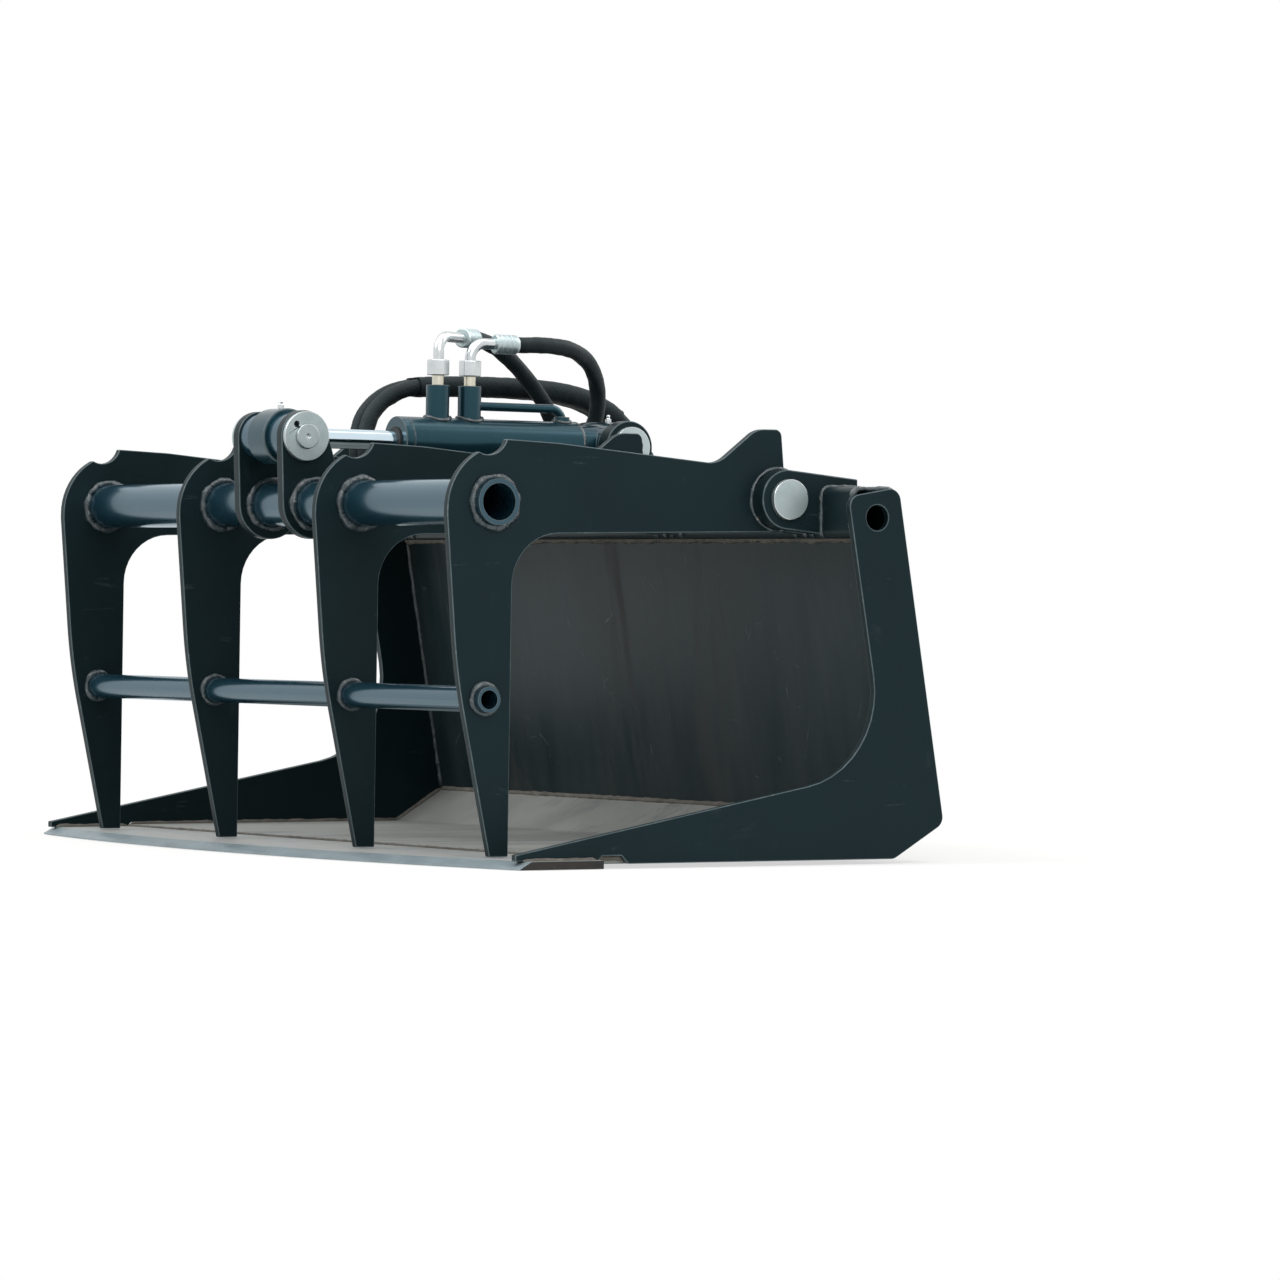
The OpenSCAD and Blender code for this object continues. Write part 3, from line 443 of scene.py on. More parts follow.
@dataclass(frozen=True)
class Turned(Finish):
    """Metal cut on a lathe or polished along its length: fine rings that the eye sees as a sheen."""

    # Width of a ridge or groove, drawn coarser than real so that it shows, and the axis across the rings
    ring_mm: float = 0.9
    ring_axis: str = "X"

    # Depth of the rings in millimetres, and how fast their strength grows with the grain
    RING_DEPTH: ClassVar[float] = 0.08
    RING_GAIN: ClassVar[float] = 8.0

    def _relief(self, tree: bpy.types.NodeTree, spot: Any, marks: Any) -> Any:
        """Rings of the cutting tool.

        Args:
            tree: Node tree of the material.
            spot: Coordinates of the surface.
            marks: Output that marks the scratches, or None.

        Returns:
            Normal output.
        """
        scale = 1000 / self.ring_mm / WAVE_BANDS
        rings = add_node(
            tree,
            "ShaderNodeTexWave",
            {"Vector": spot, "Scale": scale, "Distortion": 2.0, "Detail": 2.0},
            wave_type="BANDS",
            bands_direction=self.ring_axis,
        )
        bump = add_node(
            tree,
            "ShaderNodeBump",
            {
                "Height": rings.outputs["Fac"],
                "Strength": self.grain * self.RING_GAIN,
                "Distance": self.RING_DEPTH * MM,
            },
        )
        return bump.outputs["Normal"]


@dataclass(frozen=True)
class Woven(Finish):
    """Nylon sleeving over a hose: a fine diagonal weave that follows the piece's own UV map."""

    # Width of a thread or of the gap beside it, drawn coarser than real so that it shows
    thread_mm: float = 1.8

    # Angle of the threads to the hose in radians, and how strong and how deep they show
    THREAD_TURN: ClassVar[float] = 0.78
    THREAD_STRENGTH: ClassVar[float] = 0.35
    THREAD_DEPTH_SHARE: ClassVar[float] = 0.2

    def _relief(self, tree: bpy.types.NodeTree, spot: Any, marks: Any) -> Any:
        """Crossing diagonal threads.

        Args:
            tree: Node tree of the material.
            spot: Coordinates of the surface.
            marks: Output that marks the scratches, or None.

        Returns:
            Normal output.
        """
        lane = add_node(tree, "ShaderNodeUVMap", uv_map="along").outputs["UV"]
        scale = 1000 / self.thread_mm / WAVE_BANDS
        threads = []
        for turn in (self.THREAD_TURN, -self.THREAD_TURN):
            laid = add_node(tree, "ShaderNodeMapping", {"Vector": lane, "Rotation": (0.0, 0.0, turn)})
            wave = add_node(
                tree,
                "ShaderNodeTexWave",
                {"Vector": laid.outputs["Vector"], "Scale": scale, "Distortion": 0.3},
                wave_type="BANDS",
                bands_direction="X",
            )
            threads.append(wave.outputs["Fac"])
        both = add_node(tree, "ShaderNodeMath", {0: threads[0], 1: threads[1]}, operation="MAXIMUM")
        bump = add_node(
            tree,
            "ShaderNodeBump",
            {
                "Height": both.outputs[0],
                "Strength": self.THREAD_STRENGTH,
                "Distance": self.thread_mm * MM * self.THREAD_DEPTH_SHARE,
            },
        )
        return bump.outputs["Normal"]


class Finishes:
    """Every finish on the bucket, built once."""

    def __init__(self) -> None:
        """Builds the materials."""
        # Two-coat machinery enamel, satin, blue-black: soft reflections and a light orange peel; their
        # pale blue tint is a painted reflection of a blue sky
        self.paint = Finish(
            "satin_machine_enamel", "#111d20", "#18282c", 0.4, mottle_mm=140, wear_colour="#3c484a",
            wear=0.05, wear_mm=60, scratch=0.32, scratch_mm=110, scratch_colour="#5b6766",
            grain_mm=2.0, grain=0.02, mirror=0.2, mirror_colour="#b4d3dc",
        ).build()
        # The same enamel run on thick over round tube: it mirrors the light in a long bright streak, whose
        # pale blue tint is a painted reflection of a blue sky
        self.gloss = Finish(
            "glossy_machine_enamel", "#152a31", "#1e3a43", 0.24, mottle_mm=120,
            wear_colour="#4c5a5e", wear=0.06, wear_mm=40, scratch=0.4, scratch_mm=60,
            scratch_colour="#74817f", grain_mm=2.4, grain=0.01, mirror=1.0, mirror_colour="#a6dcf2",
            film=0.5,
        ).build()
        # The cylinder's own enamel: as glossy as the tubes' and a little greener; its reflections are
        # tinted pale blue, a painted reflection of a blue sky
        self.cylinder = Finish(
            "cylinder_enamel", "#10262d", "#16333c", 0.2, mottle_mm=120, wear_colour="#4c5a5e",
            wear=0.06, wear_mm=40, scratch=0.4, scratch_mm=60, scratch_colour="#74817f",
            grain_mm=2.4, grain=0.01, mirror=0.8, mirror_colour="#97d8ee",
        ).build()
        # The same enamel where edges have been knocked: thinner, paler and duller; its pale colour on
        # every broken edge is also a painted highlight
        self.paint_edge = Finish(
            "enamel_on_worn_edges", "#37474b", "#56656a", 0.42, mottle_mm=18, mottle=0.9,
            wear_colour="#87908f", wear=0.25, wear_mm=9, grain_mm=1.5, grain=0.05, mirror=0.35,
        ).build()
        # Enamel scuffed by the load: dull, with soft dark upright streaks and pale scratches; its
        # reflections are tinted pale blue, a painted reflection of a blue sky
        self.scuffed = Finish(
            "scuffed_enamel", "#132327", "#31393a", 0.4, mottle_mm=(46, 46, 800), mottle=0.9,
            wear_colour="#403e3d", wear=0.34, wear_mm=(70, 70, 700), scratch=0.6, scratch_mm=90,
            scratch_colour="#6c7676", scratch_stretch=(1.5, 0.2, 0.9), grain_mm=1.8, grain=0.04,
            mirror=0.22, mirror_colour="#c4d8de",
        ).build()
        # Floor plate: paint rubbed away to dull steel under a film of earth; its reflections are tinted
        # pale blue, a painted reflection of a blue sky
        self.floor = Finish(
            "rubbed_floor_steel", "#757774", "#989893", 0.56, mottle_mm=(150, 320, 100), mottle=0.9,
            wear_colour="#525b60", wear=0.34, wear_mm=(50, 190, 50), scratch=0.8, scratch_mm=80,
            scratch_colour="#b9b8b2", scratch_stretch=(2.4, 0.25, 1.0), grain_mm=1.2, grain=0.06,
            mirror=0.5, mirror_colour="#d2e6ec",
        ).build()
        # Top of the cutting edge: grey steel with dust and dried earth on it
        self.dusty_edge = Finish(
            "dusty_edge_steel", "#8b9294", "#a09d96", 0.55, mottle_mm=(60, 45, 60), mottle=0.9,
            wear_colour="#707d84", wear=0.3, wear_mm=(46, 20, 30), scratch=0.9, scratch_mm=50,
            scratch_colour="#c6c9c6", scratch_stretch=(0.5, 2.0, 1.0), grain_mm=1.0, grain=0.06,
            mirror=0.3,
        ).build()
        # Bevel of the cutting edge: hard steel polished by the ground, bluish grey with long scratches
        self.edge = Finish(
            "ground_polished_edge", "#6c7b80", "#86949a", 0.46, metallic=0.1,
            mottle_mm=(60, 20, 20), mottle=0.8, wear_colour="#6a6f6e", wear=0.3,
            wear_mm=(50, 20, 20), scratch=0.8, scratch_mm=60, scratch_colour="#c3cdd0",
            scratch_stretch=(2.0, 0.3, 1.0), grain_mm=1.0, grain=0.05,
        ).build()
        # Sawn end faces at the ground: dark paint, rust and dried earth
        self.rusty = Finish(
            "rusty_plate_end", "#202224", "#37332f", 0.62, mottle_mm=30, mottle=0.9,
            wear_colour="#5e5b56", wear=0.2, wear_mm=14, grain_mm=1.2, grain=0.08, mirror=0.25,
        ).build()
        # Painted weld bead: dark and glossy, with pale dust caught in its ripples
        self.weld = Finish(
            "painted_weld_bead", "#18262a", "#34434a", 0.3, mottle_mm=9, mottle=1.0,
            wear_colour="#b4b0a8", wear=0.25, wear_mm=4, grain_mm=2.2, grain=0.2, mirror=0.75,
        ).build()
        # Weld bead on the floor, filled with dried earth: matt grey-brown
        self.earthy_weld = Finish(
            "earth_filled_weld", "#56544f", "#75716a", 0.7, mottle_mm=16, mottle=1.0,
            wear_colour="#96928a", wear=0.3, wear_mm=12, grain_mm=1.1, grain=0.1, mirror=0.25,
        ).build()
        # Bright zinc plating on turned steel: pale silver, clouded in patches
        self.zinc = Finish(
            "bright_zinc_plate", "#d6dada", "#b3babd", 0.22, metallic=1.0, mottle_mm=16, mottle=0.7,
            wear_colour="#a9a699", wear=0.16, wear_mm=8, grain_mm=1.6, grain=0.012,
        ).build()
        # Zinc plating with a yellow passivation: silver with a faint straw tint
        self.yellow_zinc = Finish(
            "yellow_passivated_zinc", "#d3cfbd", "#c9c7ba", 0.26, metallic=1.0, mottle_mm=9,
            mottle=0.9, wear_colour="#b6b5aa", wear=0.1, wear_mm=7, grain_mm=1.6, grain=0.01,
        ).build()
        # Zinc plating weathered outdoors: matt blue-grey with fine bright scratches
        self.dull_zinc = Finish(
            "weathered_zinc_plate", "#b9c6c8", "#9aa8aa", 0.4, metallic=0.9, mottle_mm=22,
            mottle=0.8, wear_colour="#7c8483", wear=0.2, wear_mm=10, scratch=0.5, scratch_mm=18,
            scratch_colour="#dfe5e6", grain_mm=1.2, grain=0.02,
        ).build()
        # Hard chrome, ground and polished: a mirror with a fine sheen along the rod; its pale blue colour
        # is a painted reflection of a blue sky
        self.chrome = Turned(
            "hard_chrome", "#d3e4ee", "#c3d6e0", 0.1, metallic=1.0, mottle_mm=40, mottle=0.4,
            grain=0.006, ring_mm=0.8, ring_axis="Y",
        ).build()
        # Machined bare steel: plain grey with fine turning marks
        self.steel = Turned(
            "machined_steel", "#9a9da0", "#84888b", 0.34, metallic=1.0, mottle_mm=20, grain=0.02,
            ring_mm=0.9,
        ).build()
        # Cast bronze, bored for bushings: warm brown with fine turning marks
        self.bronze = Turned(
            "bushing_bronze", "#b08d57", "#9a7846", 0.36, metallic=1.0, mottle_mm=14, grain=0.02,
            ring_mm=0.8,
        ).build()
        # Nylon sleeve woven close over a hose: dull black with a fine diagonal weave; its reflections are
        # tinted pale blue, a painted reflection of a blue sky
        self.hose = Woven(
            "nylon_sleeved_hose", "#101517", "#1b2427", 0.55, mottle_mm=30, mottle=0.8,
            wear_colour="#3a4142", wear=0.1, wear_mm=20, thread_mm=2.0, mirror=0.3,
            mirror_colour="#c4d8de",
        ).build()
        # Loose textile wrap: the same black, with a coarser weave and more dust; its reflections are
        # tinted pale blue, a painted reflection of a blue sky
        self.wrap = Woven(
            "textile_hose_wrap", "#141a1c", "#232b2e", 0.65, mottle_mm=35, mottle=0.9,
            wear_colour="#474d4d", wear=0.12, wear_mm=25, thread_mm=2.4, mirror=0.3,
            mirror_colour="#c4d8de",
        ).build()
        # Moulded soft rubber: even, dull black
        self.cap = Finish(
            "moulded_rubber_cap", "#131415", "#1c1e1f", 0.58, mottle_mm=20, wear_colour="#3a3c3c",
            wear=0.08, wear_mm=12, grain_mm=0.8, grain=0.04,
        ).build()


def only(*objects: bpy.types.Object) -> None:
    """Selects these objects alone and makes the first one active.

    Args:
        objects: Objects for the next operator.
    """
    bpy.ops.object.select_all(action="DESELECT")
    for each in objects:
        each.select_set(True)
    bpy.context.view_layer.objects.active = objects[0]


def settle(
    obj: bpy.types.Object,
    body: Body | None,
    finishes: Sequence[bpy.types.Material],
    nodes: Sequence[str] = (),
    angle: float = METAL_ANGLE,
) -> bpy.types.Object:
    """body: Body that it rides on, or None for a piece that rides on no body.
        finishes: Materials in the order of the mesh's material numbers.
        nodes: CAD nodes that it stands for.
        angle: Edges flatter than this many degrees are shaded smooth.

    Returns:
        The same piece.
    """
    only(obj)
    bpy.ops.object.transform_apply(location=True, rotation=True, scale=True)
    numbers = [p.material_index for p in obj.data.polygons]
    obj.data.materials.clear()
    for finish in finishes:
        obj.data.materials.append(finish)
    obj.data.polygons.foreach_set("material_index", numbers)
    bpy.ops.object.shade_smooth_by_angle(angle=math.radians(angle))
    level = obj.modifiers.new("flat_faces", "WEIGHTED_NORMAL")
    level.keep_sharp = True
    bpy.ops.object.modifier_apply(modifier=level.name)
    if body:
        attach(obj, body.value)
    if nodes:
        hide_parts(*nodes)
    where = body.value if body else "two bodies"
    LOG.info("%s: %d faces on %s", obj.name, len(obj.data.polygons), where)
    return obj


def soften(
    node: str,
    body: Body,
    finish: bpy.types.Material,
    edge: bpy.types.Material,
    width: float = 0.9,
    segments: int = 2,
) -> bpy.types.Object:
    """Makes a plate or block with broken edges from a CAD node's mesh, and stands it in the node's place.

    Args:
        node: CAD node to copy.
        body: Body that it rides on.
        finish: Material of its faces.
        edge: Material of its broken edges.
        width: Width of the broken edge in millimetres.
        segments: Steps across the broken edge.

    Returns:
        The new piece.
    """
    obj = bpy.data.objects.new("dressed_" + node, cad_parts[node].data.copy())
    bpy.context.collection.objects.link(obj)
    only(obj)
    bpy.ops.object.mode_set(mode="EDIT")
    bpy.ops.mesh.select_all(action="SELECT")
    bpy.ops.mesh.remove_doubles(threshold=SAME_CAD_SPOT)
    bpy.ops.mesh.dissolve_limited(angle_limit=math.radians(FLAT_ANGLE))
    bpy.ops.object.mode_set(mode="OBJECT")
    obj.data.polygons.foreach_set("material_index", [0] * len(obj.data.polygons))
    obj.data.materials.clear()
    obj.data.materials.append(finish)
    obj.data.materials.append(edge)
    bevel = obj.modifiers.new("edges", "BEVEL")
    bevel.width = width * MM
    bevel.segments = segments
    bevel.limit_method = "ANGLE"
    bevel.angle_limit = math.radians(SHARP_ANGLE)
    bevel.use_clamp_overlap = False
    bevel.material = 1
    bpy.ops.object.modifier_apply(modifier=bevel.name)
    return settle(obj, body, (finish, edge), (node,))


def turned(name: str, section: Sequence[tuple[float, float]], steps: int = 48) -> bpy.types.Object:
    """Turns a closed section round the Z axis, as on a lathe.

    Args:
        name: Name of the piece.
        section: Closed outline as (radius, height) in millimetres, both ends on the axis or a ring.
        steps: Steps round the axis.

    Returns:
        The piece, standing on the origin.
    """
    bpy.ops.object.select_all(action="DESELECT")
    # The circle only brings the corners and their edges: each corner moves to its place in the section
    bpy.ops.mesh.primitive_circle_add(vertices=len(section), radius=MM)
    obj = bpy.context.active_object
    obj.name = name
    for vertex, (radius, height) in zip(obj.data.vertices, section):
        vertex.co = (radius * MM, 0.0, height * MM)
    bpy.ops.object.mode_set(mode="EDIT")
    bpy.ops.mesh.select_all(action="SELECT")
    bpy.ops.mesh.spin(steps=steps, angle=math.tau, center=(0, 0, 0), axis=(0, 0, 1))
    bpy.ops.mesh.select_all(action="SELECT")
    bpy.ops.mesh.remove_doubles(threshold=SAME_SPOT)
    bpy.ops.mesh.dissolve_degenerate(threshold=SAME_SPOT)
    bpy.ops.mesh.select_all(action="SELECT")
    bpy.ops.mesh.normals_make_consistent(inside=False)
    bpy.ops.object.mode_set(mode="OBJECT")
    return obj


def stand(obj: bpy.types.Object, at: Vector, along: Vector) -> bpy.types.Object:
    """Moves a piece that stands on the origin to a place and turns its Z axis along a direction.

    Args:
        obj: Piece to move.
        at: New place of its origin in metres.
        along: Direction for its Z axis.

    Returns:
        The same piece.
    """
    turn = along.to_track_quat("Z", "Y").to_matrix().to_4x4()
    obj.data.transform(Matrix.Translation(at) @ turn)
    return obj


def copied(obj: bpy.types.Object, name: str) -> bpy.types.Object:
    """Copies a piece with its own mesh.

    Args:
        obj: Piece to copy.
        name: Name of the copy.

    Returns:
        The copy.
    """
    twin = bpy.data.objects.new(name, obj.data.copy())
    bpy.context.collection.objects.link(twin)
    return twin


def joined(name: str, parts: Sequence[bpy.types.Object]) -> bpy.types.Object:
    """Joins pieces into one mesh.

    Args:
        name: Name of the result.
        parts: Pieces to join, all of them used up.

    Returns:
        The joined piece.
    """
    only(*parts)
    if len(parts) > 1:
        bpy.ops.object.join()
    parts[0].name = name
    return parts[0]


def repeated(stock: bpy.types.Object, shifts: Sequence[float]) -> list[bpy.types.Object]:
    """Copies a piece along X.

    Args:
        stock: Piece that lies at X = 0, used up.
        shifts: X of each copy in millimetres.

    Returns:
        The copies.
    """
    copies = []
    for shift in shifts:
        twin = copied(stock, stock.name)
        twin.data.transform(Matrix.Translation((MM * shift, 0, 0)))
        copies.append(twin)
    bpy.data.objects.remove(stock)
    return copies


def welded(name: str, beads: Sequence[bpy.types.Object], body: Body, finish: bpy.types.Material) -> None:
    """Makes one piece of the weld beads on a body.

    Args:
        name: Name of the piece.
        beads: Beads, all of them used up.
        body: Body that they ride on.
        finish: Material of the beads.
    """
    settle(joined(name, beads), body, (finish,), (), angle=WELD_ANGLE)


@dataclass
class Bead:
    """A weld bead: a lumpy rope of metal laid along a seam, rippled by the arc."""

    radius: float = 3.4
    # Length of one ripple, and how lumpy the bead is
    ripple: float = 2.6
    lump: float = 0.22
    # Shifts the lumps, so that two beads differ
    seed: float = 0.0

    FEWEST: ClassVar[int] = 6
    # Lumps in thickness and in place: how many fit in a metre, and their size as shares of lump
    THICK_LUMPS: ClassVar[float] = 90.0
    THICK_SHARE: ClassVar[float] = 1.4
    PLACE_LUMPS: ClassVar[float] = 160.0
    PLACE_SHARE: ClassVar[float] = 0.6
    # Height of a ripple as a share of the radius
    RIPPLE_SHARE: ClassVar[float] = 0.09
    # An open bead starts this thin and is full after this many radii
    END_SHARE: ClassVar[float] = 0.45
    END_RADII: ClassVar[float] = 1.6

    def lay(self, name: str, points: Sequence[Vector], closed: bool = False) -> bpy.types.Object:
        """Lays the bead along a seam.

        Args:
            name: Name of the bead.
            points: Corners of the seam in metres.
            closed: True for a seam that runs back into itself.

        Returns:
            The bead as a mesh.
        """
        stops = list(points) + ([points[0]] if closed else [])
        reach = [0.0]
        for a, b in zip(stops, stops[1:]):
            reach.append(reach[-1] + (b - a).length)
        count = max(self.FEWEST, round(reach[-1] / (self.ripple * MM / 2)))
        places = np.linspace(0, reach[-1], count + 1)[: count if closed else count + 1]
        line = np.array([[np.interp(p, reach, [s[i] for s in stops]) for i in range(3)] for p in places])
        data = bpy.data.curves.new(name, "CURVE")
        data.dimensions = "3D"
        data.bevel_depth = self.radius * MM
        data.bevel_resolution = 2
        data.use_fill_caps = not closed
        spline = data.splines.new("POLY")
        spline.points.add(len(line) - 1)
        spline.use_cyclic_u = closed
        for number, (point, spot) in enumerate(zip(spline.points, line)):
            drift = noise.noise(Vector(spot) * self.THICK_LUMPS + Vector((self.seed, 0, 0)))
            shake = noise.noise_vector(Vector(spot) * self.PLACE_LUMPS + Vector((0, self.seed, 0)))
            moved = Vector(spot) + shake * self.lump * self.radius * MM * self.PLACE_SHARE
            point.co = (*moved, 1.0)
            wave = self.RIPPLE_SHARE if number % 2 else -self.RIPPLE_SHARE
            ends = 1.0
            if not closed:
                to_end = min(places[number], reach[-1] - places[number])
                near = to_end / (self.radius * MM * self.END_RADII)
                ends = self.END_SHARE + (1.0 - self.END_SHARE) * min(1.0, near)
            point.radius = (1.0 + wave + drift * self.lump * self.THICK_SHARE) * ends
        obj = bpy.data.objects.new(name, data)
        bpy.context.collection.objects.link(obj)
        only(obj)
        bpy.ops.object.convert(target="MESH")
        return bpy.context.active_object

    def ring(self, name: str, centre: Vector, radius: float, steps: int = 40) -> bpy.types.Object:
        """Lays the bead round a tube that runs along X.

        Args:
            name: Name of the bead.
            centre: Middle of the ring in metres.
            radius: Radius of the ring in millimetres.
            steps: Corners of the ring.

        Returns:
            The bead as a mesh.
        """
        spots = [
            centre + Vector((0, math.cos(a), math.sin(a))) * radius * MM
            for a in (math.tau * i / steps for i in range(steps))
        ]
        return self.lay(name, spots, closed=True)


@dataclass(frozen=True)
class Softbox:
    """A square lamp that hangs over the floor, in metres and watts."""

    name: str
    spot: Point
    aim: Point
    size: float
    watts: float

    def hang(self) -> None:
        """Adds the lamp and turns it to the point that it faces."""
        data = bpy.data.lights.new(self.name, "AREA")
        data.shape = "SQUARE"
        data.size = self.size
        data.energy = self.watts
        lamp = bpy.data.objects.new(self.name, data)
        lamp.location = self.spot
        lamp.rotation_euler = (Vector(self.aim) - Vector(self.spot)).to_track_quat("-Z", "Y").to_euler()
        bpy.context.scene.collection.objects.link(lamp)


@dataclass
class Studio:
    """Pale floor, plain soft light and the camera of the photograph, in metres and degrees."""

    # The photograph's camera, as it was fitted to the picture
    focal_px: float = 7255.8
    image_px: int = 1280
    azimuth: float = 59.513
    elevation: float = 0.5213
    roll: float = 0.2925
    spot: Point = (6.464, -3.6186, 0.2802)
    sensor_mm: float = 36.0
    clip_end: float = 60.0
    # Strength of the surroundings as a light
    ambient: float = 0.42
    # The floor lies just under the bucket, so that their faces don't meet
    floor_size: float = 40.0
    floor_z: float = -0.0006
    # Between these distances from the middle the floor turns white, from this share of white
    white_from: float = 0.7
    white_all: float = 2.2
    white_share: float = 0.62
    softboxes: tuple[Softbox, ...] = (
        Softbox("key_softbox", (-1.2, -2.8, 3.4), (0.0, 0.0, 0.2), 3.0, 105),
        Softbox("side_softbox", (3.4, -0.6, 2.4), (0.0, 0.0, 0.2), 2.6, 55),
        Softbox("rear_softbox", (0.6, 3.0, 2.6), (0.0, 0.1, 0.3), 2.4, 50),
        Softbox("top_softbox", (0.3, -0.3, 3.6), (0.0, 0.0, 0.0), 3.4, 60),
    )

    def build(self) -> None:
        """Adds floor, world, lamps and camera."""
        scene = bpy.context.scene
        scene.view_settings.view_transform = "Standard"
        self._camera(scene)
        self._world(scene)
        self._floor()
        for softbox in self.softboxes:
            softbox.hang()

    def _camera(self, scene: bpy.types.Scene) -> None:
        """Places the camera where the photograph was taken.

        Args:
            scene: Scene that gets the camera.
        """
        az, el, roll = (math.radians(a) for a in (self.azimuth, self.elevation, self.roll))
        ahead = Vector((-math.sin(az) * math.cos(el), math.cos(az) * math.cos(el), -math.sin(el)))
        level = Vector((math.cos(az), math.sin(az), 0.0))
        over = level.cross(ahead)
        right = math.cos(roll) * level + math.sin(roll) * over
        up = -math.sin(roll) * level + math.cos(roll) * over
        data = bpy.data.cameras.new("camera")
        data.sensor_width = self.sensor_mm
        data.sensor_fit = "HORIZONTAL"
        data.lens = self.sensor_mm * self.focal_px / self.image_px
        data.clip_end = self.clip_end
        camera = bpy.data.objects.new("camera", data)
        turn = Matrix((right, up, -ahead)).transposed().to_4x4()
        camera.matrix_world = Matrix.Translation(self.spot) @ turn
        scene.collection.objects.link(camera)
        scene.camera = camera

    def _seen(self, tree: bpy.types.NodeTree) -> Any:
        """Marks what the camera sees, straight, mirrored or through glass.

        Args:
            tree: Node tree of the world or of a material.

        Returns:
            Output that is 1 for such rays.
        """
        path = add_node(tree, "ShaderNodeLightPath")
        straight = add_node(
            tree,
            "ShaderNodeMath",
            {0: path.outputs["Is Camera Ray"], 1: path.outputs["Is Transmission Ray"]},
            operation="MAXIMUM",
        )
        return add_node(
            tree,
            "ShaderNodeMath",
            {0: straight.outputs[0], 1: path.outputs["Is Glossy Ray"]},
            operation="MAXIMUM",
        ).outputs[0]

    def _world(self, scene: bpy.types.Scene) -> None:
        """Makes the surroundings: white where they are seen, softer as light.

        Args:
            scene: Scene that gets the world.
        """
        world = bpy.data.worlds.new("surroundings")
        scene.world = world
        world.use_nodes = True
        tree = world.node_tree
        tree.nodes.clear()
        strength = add_node(
            tree, "ShaderNodeMapRange", {"Value": self._seen(tree), "To Min": self.ambient, "To Max": 1.0}
        )
        light = add_node(
            tree,
            "ShaderNodeBackground",
            {"Color": linear("#ffffff"), "Strength": strength.outputs["Result"]},
        )
        add_node(tree, "ShaderNodeOutputWorld", {"Surface": light.outputs[0]})

    def _floor(self) -> None:
        """Lays the plain pale floor."""
        bpy.ops.object.select_all(action="DESELECT")
        bpy.ops.mesh.primitive_plane_add(size=self.floor_size, location=(0, 0, self.floor_z))
        floor = bpy.context.active_object
        floor.name = "studio_floor"
        material = bpy.data.materials.new("pale_studio_floor")
        material.use_nodes = True
        tree = material.node_tree
        tree.nodes.clear()
        matt = add_node(tree, "ShaderNodeBsdfDiffuse", {"Color": linear("#efefec")})
        white = add_node(tree, "ShaderNodeEmission", {"Color": linear("#ffffff"), "Strength": 1.0})
        spot = add_node(tree, "ShaderNodeTexCoord").outputs["Object"]
        away = add_node(tree, "ShaderNodeVectorMath", {0: spot}, operation="LENGTH")
        whiter = add_node(
            tree,
            "ShaderNodeMapRange",
            {
                "Value": away.outputs["Value"],
                "From Min": self.white_from,
                "From Max": self.white_all,
                "To Min": self.white_share,
                "To Max": 1.0,
            },
            interpolation_type="SMOOTHSTEP",
        )
        share = add_node(
            tree,
            "ShaderNodeMath",
            {0: self._seen(tree), 1: whiter.outputs["Result"]},
            operation="MULTIPLY",
        )
        mixed = add_node(
            tree, "ShaderNodeMixShader", {0: share.outputs[0], 1: matt.outputs[0], 2: white.outputs[0]}
        )
        add_node(tree, "ShaderNodeOutputMaterial", {"Surface": mixed.outputs[0]})
        floor.data.materials.append(material)


@dataclass
class Linkage:
    """Places that the sub-assemblies share, in drawing millimetres (Y, Z)."""

    pivot: tuple[float, float] = (340.0847, 353.5)
    base_pin: tuple[float, float] = (392.5847, 410.0)
    rod_pin: tuple[float, float] = (12.0701, 416.0048)
    upper_tube: tuple[float, float] = (23.0701, 348.5048)
    lower_tube: tuple[float, float] = (13.0877, 159.5465)
    tines: tuple[float, ...] = (-416.0, -147.5, 147.5, 416.0)
    tine_t: float = 8.0
    upper_d: float = 45.0
    lower_d: float = 25.0

    def on_cylinder(self, x: float, u: float, h: float) -> Vector:
        """Point of the cylinder: x across, u from the base pin towards the rod pin, h above the axis.

        Args:
            x: Distance to the left of the middle.
            u: Distance from the base pin.
            h: Height above the cylinder's axis.

        Returns:
            The point in metres.
        """
        by, bz = self.base_pin
        ry, rz = self.rod_pin
        length = math.hypot(by - ry, rz - bz)
        ay, az = (ry - by) / length, (rz - bz) / length
        return place(x, by + ay * u + az * h, bz + az * u - ay * h)

    def along(self) -> Vector:
        """Direction from the base pin to the rod pin."""
        return (self.on_cylinder(0, 1, 0) - self.on_cylinder(0, 0, 0)).normalized()

    def upward(self) -> Vector:
        """Direction that the ports stand in."""
        return (self.on_cylinder(0, 0, 1) - self.on_cylinder(0, 0, 0)).normalized()


def reach_along(points: np.ndarray) -> np.ndarray:
    """Distance of each point from the first one, along them all."""
    return np.concatenate([[0.0], np.cumsum(np.linalg.norm(np.diff(points, axis=0), axis=1))])


